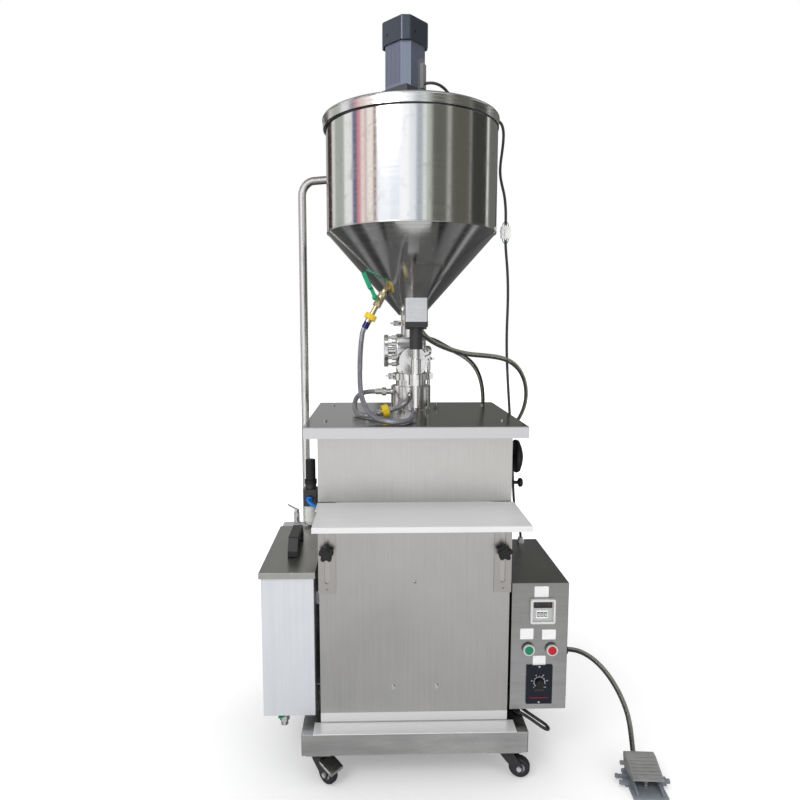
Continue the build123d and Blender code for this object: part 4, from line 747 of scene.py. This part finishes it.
def masked(node, base, *layers):
    """one material for a node whose parts differ: layers of (mask function, colour, metallic, roughness)"""
    m = base()
    col_src = m.b.inputs["Base Color"]
    cur = col_src.links[0].from_socket if col_src.is_linked else tuple(col_src.default_value[:3])
    rs = m.b.inputs["Roughness"]
    cr = rs.links[0].from_socket if rs.is_linked else rs.default_value
    cm = m.b.inputs["Metallic"].default_value
    for mask, col, metal, rough in layers:
        f = mask(m)
        cur = m.mixc(f, cur, col)
        cr = m.mixf(f, cr, rough)
        cm = m.mixf(f, cm, metal)
    m.color(cur)
    m.rough(cr)
    m.metal(cm)
    assign(node, m)
    return m


# tank lid: olive-grey sheet, black moulded handle
masked("tank_lid", lambda: brushed("tank_lid_sheet2", (0.50, 0.50, 0.47), 0.30, (60, 6, 60), 0.08, 0.14, 0.05),
       (lambda m: m.box(-313, -285, 88, 236, 506.2, 560), (0.016, 0.016, 0.018), 0.0, 0.36))
def satin(m, v):
    m.metal(v)
    return m


# shelf: pale sheet, plain brackets under it; tray, top plate and cabinet with paler folded edges, a painted highlight
masked("shelf", lambda: satin(brushed("shelf_sheet2", (0.95, 0.95, 0.96), 0.36, (5, 80, 60), 0.04, 0.05, 0.06, 0.15), 0.12),
       (lambda m: m.box(-300, 300, -5, 400, 400, 655), (0.46, 0.44, 0.42), 1.0, 0.30))
# painted highlight: paler tint on the tray's folded front lip
masked("base_tray", lambda: brushed("tray_sheet2", (0.62, 0.61, 0.59), 0.26, (8, 60, 60), 0.10, 0.22, 0.06, 0.3),
       (lambda m: m.box(-240, 240, -46, 1, 126.5, 130), (0.85, 0.85, 0.85), 0.4, 0.35))
# painted highlight: paler tint on the top plate's front skirt
masked("top_plate", lambda: brushed("top_plate_sheet2", (0.50, 0.50, 0.49), 0.17, (5, 60, 60), 0.08, 0.14, 0.04, 0.2),
       (lambda m: m.box(-400, 400, -80, -28, 600, 850.2), (0.60, 0.60, 0.62), 0.95, 0.26))
# painted highlight: paler tint on a folded band of the cabinet sheet
_cab = masked("cabinet_shell", lambda: brushed("cabinet_sheet2", (0.64, 0.63, 0.61), 0.33, (600, 600, 8), 0.05, 0.12, 0.04),
       (lambda m: m.box(-260, 260, -2, 3, 131, 153), (0.85, 0.85, 0.85), 0.5, 0.35))
def shade(m, axis, a, b, lo, hi):
    """multiply the colour by lo at a (metres) rising to hi at b along an axis"""
    c = m.b.inputs["Base Color"].links[0].from_socket
    g = m.node("ShaderNodeMix", data_type="RGBA", blend_type="MULTIPLY")
    g.inputs[0].default_value = 1.0
    m.link(c, g.inputs[6])
    m.link(m.mixc(m.span(m.xyz()[axis], a, b), (lo, lo, lo), (hi, hi, hi)), g.inputs[7])
    m.color(g.outputs[2])


shade(_cab, 2, 0.640, 0.660, 0.90, 1.02)
# control box: painted light, paler towards its foot to lift the shade there
_b = brushed("box_sheet2", (0.36, 0.36, 0.35), 0.30, (6, 6, 90), 0.08, 0.15, 0.05)
shade(_b, 2, 0.17, 0.46, 1.5, 1.0)
assign("control_box", _b)
# gear motor: enamel, grey terminal piece
masked("gearmotor", lambda: paint("motor_enamel2", (0.27, 0.30, 0.38), 0.36),
       (lambda m: m.box(-300, 300, 0, 600, 1684, 1791, 0.0006), (0.27, 0.30, 0.38), 0.8, 0.36),
       (lambda m: m.box(-300, 300, 0, 600, 1791, 1900, 0.0006), (0.075, 0.09, 0.115), 0.7, 0.33),
       (lambda m: m.box(-300, 300, 0, 600, 1600, 1684, 0.0006), (0.10, 0.11, 0.13), 0.6, 0.38),
       (lambda m: m.rod((30, 268, 1686), (30, 268, 1746), 14), (0.16, 0.16, 0.165), 0.0, 0.4))
# brass ball valve, yellow nuts, anodised ferrules, bright port fittings
VA = Vector((-69, 240, 1166))
VD = (Vector((-122, 229, 1070)) - VA).normalized()


def on(t):
    return tuple(VA + VD * t)


masked("jacket_valve_and_fittings", lambda: polished("brass", (0.66, 0.56, 0.36), 0.26, (300, 300, 300), 0.05),
       (lambda m: m.cyl(on(65.5), on(80.5), 17), (0.80, 0.56, 0.015), 0.0, 0.38),
       (lambda m: m.cyl(on(89), on(109), 9.6), (0.035, 0.030, 0.16), 0.7, 0.30),
       (lambda m: m.cyl(un(-8), un(8), 17), (0.80, 0.58, 0.015), 0.0, 0.38),
       (lambda m: m.cyl(un(11), un(20), 9.0), (0.70, 0.70, 0.70), 1.0, 0.22),
       (lambda m: m.cyl(un(-24), un(-12), 9.6), (0.70, 0.70, 0.70), 1.0, 0.22),
       (lambda m: m.box(-100, -60, 270, 310, 885, 920), (0.70, 0.69, 0.67), 1.0, 0.22),
       (lambda m: m.box(-15, 30, 190, 232, 870, 910), (0.70, 0.69, 0.67), 1.0, 0.22),
       (lambda m: m.box(-20, 8, 90, 112, 896, 925), (0.70, 0.69, 0.67), 1.0, 0.22))
# nozzle cylinder: silver block, black adapter and tube
masked("nozzle_actuator", lambda: brushed("cylinder_extrusion", (0.80, 0.81, 0.81), 0.30, (60, 60, 700), 0.08, 0.05, 0.05),
       (lambda m: m.box(-40, 60, 40, 120, 1000, 1088.8), (0.022, 0.022, 0.023), 0.0, 0.34),
       (lambda m: m.box(0, 30, 101.5, 120, 1085, 1115), (0.03, 0.03, 0.035), 0.0, 0.4))
# filter and regulator
masked("air_filter_regulator", lambda: plastic("regulator_body", (0.03, 0.03, 0.033), 0.36, 0.2, 0.2),
       (lambda m: m.box(-300, -200, 100, 200, 560, 624.9), (0.62, 0.64, 0.60), 0.0, 0.10),
       (lambda m: m.box(-300, -200, 100, 200, 560, 574), (0.03, 0.03, 0.033), 0.0, 0.3),
       (lambda m: m.box(-239, -200, 100, 200, 626, 670), (0.82, 0.82, 0.81), 0.8, 0.28),
       (lambda m: m.box(-280, -230, 167.9, 190, 630, 660), (0.62, 0.50, 0.30), 1.0, 0.25),
       (lambda m: m.box(-270, -224, 95, 126, 624, 652), (0.0, 0.20, 0.72), 0.0, 0.18))
# panel instruments: clear grey controller frame, chrome and black collars, navy speed plate
masked("panel_instruments", lambda: plastic("instrument_plastic", (0.010, 0.010, 0.012), 0.4, 0.15, 0.0),
       (lambda m: m.box(270, 340, -6, 5.2, 370, 436), (0.62, 0.62, 0.61), 0.0, 0.26),
       (lambda m: m.box(280.9, 331.1, -1.0, 5.2, 377.9, 428.1), (0.45, 0.46, 0.47), 0.0, 0.3),
       (lambda m: m.box(255, 350, -1.1, 5.1, 288, 324), (0.03, 0.03, 0.032), 0.0, 0.3),
       (lambda m: m.box(255, 350, -8, -1.05, 288, 324), (0.88, 0.88, 0.87), 1.0, 0.2),
       (lambda m: m.box(268, 336, 0, 5.1, 166, 267), (0.004, 0.006, 0.016), 0.0, 0.42),
       (lambda m: m.box(300, 335, 270, 310, 470, 490), (0.55, 0.56, 0.56), 0.0, 0.4))
# foot pedal
M_PEDC = plastic("pedal_cover_plastic", (0.25, 0.25, 0.245), 0.45, 0.5, 0.0, 0.15)
M_PEDB = plastic("pedal_base_plastic", (0.22, 0.24, 0.27), 0.42, 0.4, 0.0, 0.15)
assign("pedal_cover", M_PEDC)
assign("pedal_base", M_PEDB)
PED_X, PED_Y, PED_A, SPR_Y = 498.0, -110.0, math.radians(-4.0), 38.0


def ped(x, y, z):
    return P(PED_X + x * math.cos(PED_A) - y * math.sin(PED_A), PED_Y + x * math.sin(PED_A) + y * math.cos(PED_A), z)


turns = 22.4 / 4.2
helix = []
for i in range(int(turns * 40) + 1):
    t = i / 40
    helix.append(ped(39 + 6.2 * math.cos(2 * math.pi * t), SPR_Y + 6.2 * math.sin(2 * math.pi * t), 9.95 + 4.2 * t))
spring, _q = tube("pedal_return_spring", helix, 0.0009, M_SPRING, ring=10, step=0.0009)
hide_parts("pedal_spring")
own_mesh(spring)
# castors: black nylon forks and tyres, pale wheel ring, chrome caps on the axle
CAST = {"front_left": (-229, -14, -41.0), "front_right": (224, -14, -16.0), "rear_left": (-224, 414, 118.0), "rear_right": (224, 414, 62.0)}
for nm, (cx, cy, an) in CAST.items():
    a = math.radians(an)
    wx, wy = cx + 30 * math.cos(a), cy + 30 * math.sin(a)
    ax = (-math.sin(a), math.cos(a))

    def seg(h, wx=wx, wy=wy, ax=ax):
        return (wx - ax[0] * h, wy - ax[1] * h, 25), (wx + ax[0] * h, wy + ax[1] * h, 25)
    masked("castor_wheel_" + nm, lambda: plastic("tyre_" + nm, (0.020, 0.020, 0.022), 0.4, 0.35),
           (lambda m, s=seg: m.rod(*s(20), 13.4), (0.42, 0.42, 0.42), 0.0, 0.4),
           (lambda m, s=seg: m.rod(*s(20), 7.6), (0.05, 0.05, 0.05), 0.0, 0.4))
    masked("castor_fork_" + nm, lambda: plastic("fork_" + nm, (0.022, 0.022, 0.024), 0.34, 0.25, 0.15),
           (lambda m, s=seg: m.rod(*s(17), 5.9), (0.75, 0.75, 0.74), 1.0, 0.15))

# ============================================================ details
# rolled bead round the hopper lid, and the joint line of cone and cylinder
lathe("hopper_lid_bead", [(228.4, 1603.2), (229.6, 1603.6), (230.3, 1605.2), (230.0, 1607.0), (229.0, 1608.4), (227.4, 1609.0), (226.0, 1608.9), (226.0, 1607.5), (228.2, 1606.4)],
      (2, 290, 0), (0, 0, 1), M_BRIGHT, n=144, close=True)
lathe("hopper_weld", [(223.6, 1320.0), (224.5, 1320.8), (224.7, 1322.0), (224.5, 1323.2), (223.6, 1324.0)], (5, 290, 0), (0, 0, 1), M_TURNED, n=144)
lathe("hopper_rim_shadow", [(223.9, 1581.0), (226.6, 1581.4), (227.2, 1583.0), (226.8, 1583.9), (224.0, 1583.9)], (3.5, 290, 0), (0, 0, 1), M_GLOSSB, n=144)
lathe("hopper_neck_weld", [(26.8, 1090.6), (27.9, 1091.4), (28.3, 1092.6), (27.7, 1093.8), (26.8, 1094.4)], (5, 290, 0), (0, 0, 1), M_TURNED, n=64)
lathe("riser_weld", [(10.8, -2.2), (12.4, -1.6), (13.0, 0.0), (12.6, 1.4), (10.9, 2.4)], (-205.9, 371, 1481), (-0.934, 0.357, 0), M_TURNED, n=48)
lathe("cylinder_base_weld", [(54.0, 856.4), (55.0, 855.6), (56.0, 854.3), (54.0, 854.2)], (5, 290, 0), (0, 0, 1), M_TURNED, n=72)

# bare labels on the control box
for i, (x0, x1, z0, z1) in enumerate(((286, 320, 436, 463), (254, 286, 331, 358), (307, 340, 330, 355), (286, 317, 264.5, 289))):
    o = slab(f"box_label_{i}", ((x0 + x1) / 2, 4.75, (z0 + z1) / 2), (x1 - x0, 0.5, z1 - z0), M_LABEL, bevel=0.12, corner=1.4)
# temperature controller: smoked window over the setting wheels
o = slab("controller_window", (306, -0.5, 419), (44, 1.0, 15), M_GLOSSB, bevel=0.3, corner=1.2)
o = slab("controller_field", (304, -0.6, 396), (28, 1.2, 20), M_WHITE, bevel=0.3, corner=1.0)
for i in range(3):
    o = slab(f"controller_wheel_{i}", (295.6 + i * 8.4, -1.6, 396), (6.4, 1.6, 11.0), M_BLACK, bevel=0.5, corner=0.8)
    o = slab(f"controller_digit_field_{i}", (295.6 + i * 8.4, -2.55, 396), (4.8, 0.4, 6.6), M_WHITE, bevel=0.12, corner=0.5)
for i in range(2):
    lathe(f"controller_lamp_{i}", [(0, 0.9), (1.0, 0.7), (1.5, 0.0), (1.5, -0.4)], (292 + i * 28, -1.0, 420), (0, -1, 0), (M_GREEN, M_RED)[i], n=20)


def text(name, body, size, centre, mat, body_name="machine", extrude=0.00008):
    cd = bpy.data.curves.new(name, "FONT")
    cd.body = body
    cd.size = size / 1000
    cd.extrude = extrude
    cd.align_x = "CENTER"
    cd.align_y = "CENTER"
    o = bpy.data.objects.new(name, cd)
    coll.objects.link(o)
    o.matrix_world = Matrix.Translation(P(*centre)) @ Matrix.Rotation(math.radians(90), 4, "X")
    cd.materials.append(mat.m)
    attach(o, body_name)
    return o


for i, d in enumerate("080"):
    text(f"controller_digit_{i}", d, 6.4, (295.6 + i * 8.4, -2.85, 396), M_BLACK)
# speed controller: dial ticks and numbers, a thin rule, a screw above and below
M_DIAL = plastic("dial_print", (0.72, 0.72, 0.74), 0.5, 0.05)
verts, faces = [], []
for i in range(0, 51):
    a = math.radians(225 - 270 * i / 50)
    long_ = i % 5 == 0
    r0, r1, w = 12.2, 15.4 if long_ else 13.8, 0.42 if long_ else 0.24
    c, s_ = math.cos(a), math.sin(a)
    k = len(verts)
    for rr, ww in ((r0, -w), (r0, w), (r1, w), (r1, -w)):
        for yy in (0.72, 1.02):
            verts.append(P(302.5 + rr * c - ww * s_, yy, 224 + rr * s_ + ww * c))
    q = [k + 0, k + 2, k + 4, k + 6]
    faces += [tuple(q), tuple(x + 1 for x in reversed(q))] + [(q[j], q[j] + 1, q[(j + 1) % 4] + 1, q[(j + 1) % 4]) for j in range(4)]
mesh_obj("dial_ticks", verts, faces, M_DIAL, smooth=False)
for i in range(0, 11, 2):
    a = math.radians(225 - 270 * i / 10)
    text(f"dial_number_{i}", str(i * 10), 4.0, (302.5 + 19.2 * math.cos(a), 0.85, 224 + 19.0 * math.sin(a)), M_DIAL)
slab("dial_window", (302.5, 0.8, 203.0), (24, 0.4, 7.5), M_GLOSSB, bevel=0.12, corner=1.0)
slab("dial_rule_red", (302.5, 0.85, 183.5), (46, 0.3, 1.1), M_RED, bevel=0.1)
for i, (sx, sz) in enumerate(((302.5, 171.5), (302.5, 262))):
    o = lathe(f"dial_screw_{i}", [(0, 0.5), (0.55, 0.5), (0.6, 1.1), (2.2, 0.8), (2.9, 0.1), (2.9, -0.4)], (sx, 1.0, sz), (0, -1, 0), M_ZINC, n=24)
    slab(f"dial_screw_slot_{i}", (sx, -0.02, sz), (3.6, 0.25, 0.5), M_BLACK, bevel=0.05)

# domed screws on the cabinet panels
for i, (sx, sz, r_) in enumerate(((-51, 217, 5.5), (53, 218, 5.5), (0.3, 480, 3.2))):
    lathe(f"panel_screw_{i}", [(0, 0.42 * r_), (0.45 * r_, 0.38 * r_), (0.8 * r_, 0.22 * r_), (r_, 0.0), (r_, -0.3)], (sx, -0.2, sz), (0, -1, 0), M_ZINC, n=32)

# strain relief of the mains lead: a ribbed taper along the lead's own line
mains_path = along(route(PC), 0.0006)
relief = mains_path[:44]
fr = frames(relief)
verts, faces = [], []
for i, (p, T, a_, b_) in enumerate(fr):
    t = i / (len(fr) - 1)
    rr = (7.2 - 2.9 * t) / 1000
    if 0.12 < t < 0.95 and (i % 5) in (0, 1):
        rr -= 0.0007
    for k in range(28):
        an = 2 * math.pi * k / 28
        verts.append(p + (a_ * math.cos(an) + b_ * math.sin(an)) * rr)
for i in range(len(fr) - 1):
    for k in range(28):
        j = (k + 1) % 28
        faces.append((i * 28 + k, i * 28 + j, (i + 1) * 28 + j, (i + 1) * 28 + k))
faces.append(tuple(reversed(range(28))))
faces.append(tuple(range((len(fr) - 1) * 28, len(fr) * 28)))
o = mesh_obj("mains_strain_relief", verts, faces, M_BLACK, sharp=40)

# tie round the coil
verts, faces = [], []
sec = [(27.5, 0.3), (27.0, 1.6), (27.0, 14.4), (28.2, 16.2), (58.8, 16.4), (61.2, 14.6), (61.4, 2.0), (60.2, 0.25)]
for w in (-2.6, 2.6):
    for off in (0.0, 0.7):
        for r_, z_ in sec:
            cz_ = 8.1
            rr, zz = r_ + (0 if r_ < 44 else off) - (off if r_ < 44 else 0), z_ + (off if z_ > cz_ else 0)
            verts.append(P(CX + w, CY - rr, max(0.2, zz)))
n = len(sec)
for i in range(n):
    j = (i + 1) % n
    faces += [(i, j, n + j, n + i), (2 * n + i, 3 * n + i, 3 * n + j, 2 * n + j), (n + i, n + j, 3 * n + j, 3 * n + i), (i, 2 * n + i, 2 * n + j, j)]
mesh_obj("coil_tie", verts, faces, M_BLACK)

# motor lead connector: pale housing, four coloured wires in and out
con = slab("connector_shell", (257.5, 290.5, 1327), (25, 14, 32), M_WHITE, bevel=1.6)
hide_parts("motor_cable")
con_parts = [con, slab("connector_band", (257.5, 290.5, 1331), (26.4, 15.2, 9), M_WHITE, bevel=1.0),
             slab("connector_latch", (257.5, 282.4, 1325), (8, 2.4, 20), M_WHITE, bevel=0.7)]
length(route(MC1))
length(route(MC2))
wires = ((0.0, 0.10, 0.45), (0.55, 0.02, 0.02), (0.02, 0.02, 0.02), (0.0, 0.30, 0.12))
for i, c in enumerate(wires):
    m = sheath(f"wire_{i}", c, 0.3)
    dx = -8 + i * 5.3
    w = nurbs(f"connector_wire_top_{i}", [(257.3, 290.2, 1358), (257.4 + dx * 0.5, 290.2, 1354), (257.5 + dx, 290.5, 1349), (257.5 + dx, 290.5, 1341)], 1.1, 6)
    w.data.materials.append(m.m)
    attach(w, "machine")
    w = nurbs(f"connector_wire_low_{i}", [(257.5 + dx, 290.5, 1313), (257.5 + dx, 290.5, 1306), (257.9 + dx * 0.5, 290.2, 1300), (258.0, 290.0, 1296)], 1.1, 6)
    w.data.materials.append(m.m)
    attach(w, "machine")
# earth wire on the lid
w = nurbs("earth_wire", [(-62, 206, 1617), (-50, 212, 1623), (-36, 224, 1624), (-24, 236, 1630), (-16, 240, 1640)], 1.5, 8)
w.data.materials.append(sheath("earth_sheath", (0.30, 0.34, 0.06), 0.35).m)
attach(w, "machine")

# ============================================================ world, light, floor
w = bpy.data.worlds.new("studio")
scene.world = w
w.use_nodes = True
nt = w.node_tree
nt.nodes.clear()
outn = nt.nodes.new("ShaderNodeOutputWorld")


def N(kind, **kw):
    n = nt.nodes.new(kind)
    for k_, v_ in kw.items():
        setattr(n, k_, v_)
    return n


def L(a_, b_):
    nt.links.new(a_, b_)


tcw = N("ShaderNodeTexCoord")
sep = N("ShaderNodeSeparateXYZ")
L(tcw.outputs["Generated"], sep.inputs[0])
neg = N("ShaderNodeMath", operation="MULTIPLY")
L(sep.outputs[1], neg.inputs[0])
neg.inputs[1].default_value = -1
at = N("ShaderNodeMath", operation="ARCTAN2")
L(sep.outputs[0], at.inputs[0])
L(neg.outputs[0], at.inputs[1])
deg = N("ShaderNodeMath", operation="DEGREES")
L(at.outputs[0], deg.inputs[0])


def ramp(lo, hi, stops):
    mr = N("ShaderNodeMapRange", clamp=True)
    L(deg.outputs[0], mr.inputs["Value"])
    mr.inputs["From Min"].default_value = lo
    mr.inputs["From Max"].default_value = hi
    r = N("ShaderNodeValToRGB")
    L(mr.outputs[0], r.inputs[0])
    els = r.color_ramp.elements
    while len(els) > 1:
        els.remove(els[-1])
    els[0].position = (stops[0][0] - lo) / (hi - lo)
    els[0].color = (*stops[0][1], 1)
    for a_, c_ in stops[1:]:
        e_ = els.new((a_ - lo) / (hi - lo))
        e_.color = (*c_, 1)
    return r.outputs[0]


def bands(spec, soft=1.0):
    """(start angle, colour) bands to ramp stops with short soft edges"""
    out = [(spec[0][0], spec[0][1])]
    for (a0, c0), (a1, c1) in zip(spec, spec[1:]):
        out += [(a1 - soft, c0), (a1 + soft, c1)]
    return out


left = ramp(-180, 0, bands([(-180, (0.40, 0.40, 0.40)), (-152, (0.05, 0.03, 0.03)), (-134, (0.75, 0.74, 0.72)), (-124, (0.42, 0.46, 0.42)), (-102, (0.90, 0.90, 0.90)),
                            (-86, (0.13, 0.15, 0.26)), (-78, (0.72, 0.30, 0.33)), (-72, (0.95, 0.80, 0.78)), (-66, (0.55, 0.42, 0.40)), (-63, (1.0, 0.92, 0.88)),
                            (-53, (0.22, 0.10, 0.05)), (-49, (1.05, 1.08, 1.15)), (-30, (0.92, 0.97, 1.05)), (-18, (1.1, 1.12, 1.15)), (-6, (0.9, 0.93, 1.0))]))
rightr = ramp(0, 180, bands([(0, (0.9, 0.93, 1.0)), (3, (0.42, 0.46, 0.52)), (11, (0.85, 0.88, 0.90)), (16, (0.48, 0.52, 0.46)), (23, (0.13, 0.13, 0.115)),
                             (43, (0.42, 0.42, 0.39)), (49, (0.11, 0.11, 0.09)), (77, (0.26, 0.26, 0.24)), (81, (0.045, 0.045, 0.04)), (113, (0.85, 0.86, 0.86)),
                             (118, (0.15, 0.15, 0.14))], 1.4))
step = N("ShaderNodeMath", operation="GREATER_THAN")
L(deg.outputs[0], step.inputs[0])
step.inputs[1].default_value = 0
side = N("ShaderNodeMix", data_type="RGBA")
L(step.outputs[0], side.inputs[0])
L(left, side.inputs[6])
L(rightr, side.inputs[7])
# below the horizon the surroundings fade to a mid-grey hall floor, above to a pale ceiling
low = N("ShaderNodeMapRange", clamp=True, interpolation_type="SMOOTHSTEP")
L(sep.outputs[2], low.inputs["Value"])
low.inputs["From Min"].default_value = 0.02
low.inputs["From Max"].default_value = -0.08
dn = N("ShaderNodeMapRange", clamp=True)
L(sep.outputs[2], dn.inputs["Value"])
dn.inputs["From Min"].default_value = 0.0
dn.inputs["From Max"].default_value = -1.0
dr = N("ShaderNodeValToRGB")
L(dn.outputs[0], dr.inputs[0])
de = dr.color_ramp.elements
de[0].position, de[0].color = 0.0, (1.10, 1.10, 1.12, 1)
de[1].position, de[1].color = 1.0, (0.05, 0.05, 0.05, 1)
for p_, c_ in ((0.12, (1.27, 1.27, 1.27, 1)), (0.24, (1.10, 1.07, 1.06, 1)), (0.34, (0.83, 0.82, 0.82, 1)), (0.50, (0.64, 0.66, 0.69, 1)), (0.62, (0.56, 0.56, 0.57, 1)), (0.80, (0.34, 0.34, 0.35, 1))):
    e_ = de.new(p_)
    e_.color = c_


def grey(v):
    return (v, v, v)


# the lower surroundings have their own dark and light sectors
lowl = ramp(-180, 0, bands([(-180, grey(0.8)), (-172, grey(0.10)), (-128, grey(0.42)), (-118, grey(0.10)), (-102, grey(0.85)), (-80, grey(0.10)),
                            (-70, grey(0.75)), (-58, grey(0.30)), (-48, grey(1.0))], 1.6))
lowr = ramp(0, 180, bands([(0, grey(1.0)), (34, grey(0.45)), (42, grey(0.85)), (50, grey(0.10)), (78, grey(0.50)), (102, grey(0.07)),
                           (112, grey(0.65)), (118, grey(0.10)), (172, grey(0.8))], 1.6))
lows = N("ShaderNodeMix", data_type="RGBA")
L(step.outputs[0], lows.inputs[0])
L(lowl, lows.inputs[6])
L(lowr, lows.inputs[7])
drm = N("ShaderNodeMix", data_type="RGBA", blend_type="MULTIPLY")
drm.inputs[0].default_value = 1.0
L(dr.outputs[0], drm.inputs[6])
L(lows.outputs[2], drm.inputs[7])
mixl = N("ShaderNodeMix", data_type="RGBA")
L(low.outputs[0], mixl.inputs[0])
L(side.outputs[2], mixl.inputs[6])
L(drm.outputs[2], mixl.inputs[7])
hi = N("ShaderNodeMapRange", clamp=True, interpolation_type="SMOOTHSTEP")
L(sep.outputs[2], hi.inputs["Value"])
hi.inputs["From Min"].default_value = 0.45
hi.inputs["From Max"].default_value = 0.75
mixh = N("ShaderNodeMix", data_type="RGBA")
L(hi.outputs[0], mixh.inputs[0])
L(mixl.outputs[2], mixh.inputs[6])
mixh.inputs[7].default_value = (0.22, 0.22, 0.225, 1)
lp = N("ShaderNodeLightPath")
bgG = N("ShaderNodeBackground")
L(mixh.outputs[2], bgG.inputs[0])
bgG.inputs[1].default_value = 1.0
bgD = N("ShaderNodeBackground")
bgD.inputs[0].default_value = (1, 1, 1, 1)
bgD.inputs[1].default_value = 0.75
bgC = N("ShaderNodeBackground")
bgC.inputs[0].default_value = (1, 1, 1, 1)
bgC.inputs[1].default_value = 1.0
m1 = N("ShaderNodeMixShader")
L(lp.outputs["Is Glossy Ray"], m1.inputs[0])
L(bgD.outputs[0], m1.inputs[1])
L(bgG.outputs[0], m1.inputs[2])
m2 = N("ShaderNodeMixShader")
L(lp.outputs["Is Camera Ray"], m2.inputs[0])
L(m1.outputs[0], m2.inputs[1])
L(bgC.outputs[0], m2.inputs[2])
L(m2.outputs[0], outn.inputs[0])


def area(name, loc, target, size, power, glossy=True, color=(1, 1, 1)):
    ld = bpy.data.lights.new(name, "AREA")
    ld.energy = power
    ld.size = size
    ld.color = color
    o = bpy.data.objects.new(name, ld)
    coll.objects.link(o)
    o.location = loc
    o.rotation_mode = "QUATERNION"
    o.rotation_quaternion = (Vector(target) - Vector(loc)).to_track_quat("-Z", "Y")
    o.visible_glossy = glossy
    o.visible_camera = False
    return o


area("key", (-1.8, -2.6, 3.2), (0, 0, 0.9), 1.6, 38, True)
area("fill", (2.4, -2.2, 1.8), (0, 0, 0.8), 1.8, 14, False)
area("top", (0.2, 0.6, 3.6), (0, 0, 1.0), 1.6, 16, False)

fl = bpy.data.meshes.new("floor")
fl.from_pydata([(-12, -6, -0.0006), (12, -6, -0.0006), (12, 14, -0.0006), (-12, 14, -0.0006)], [], [(0, 1, 2, 3)])
floor = bpy.data.objects.new("floor", fl)
coll.objects.link(floor)
mf = Mat("floor_white", (0.86, 0.86, 0.86), 0.0, 0.7)
mf.b.inputs["Emission Color"].default_value = (1, 1, 1, 1)
mfl = mf.node("ShaderNodeVectorMath", operation="LENGTH")
mf.link(mf.obj, mfl.inputs[0])
mf.link(mf.span(mfl.outputs["Value"], 0.6, 2.0, 0.24, 0.75), mf.b.inputs["Emission Strength"])
nf = mf.noise((1.5, 1.5, 1.5), 1.0, 3)
mf.color(mf.mixc(nf, (0.85, 0.85, 0.85), (0.87, 0.87, 0.87)))
fl.materials.append(mf.m)
floor.visible_glossy = False

scene.view_settings.view_transform = "Standard"
scene.view_settings.look = "None"
scene.view_settings.exposure = 0.0
scene.view_settings.gamma = 1.0
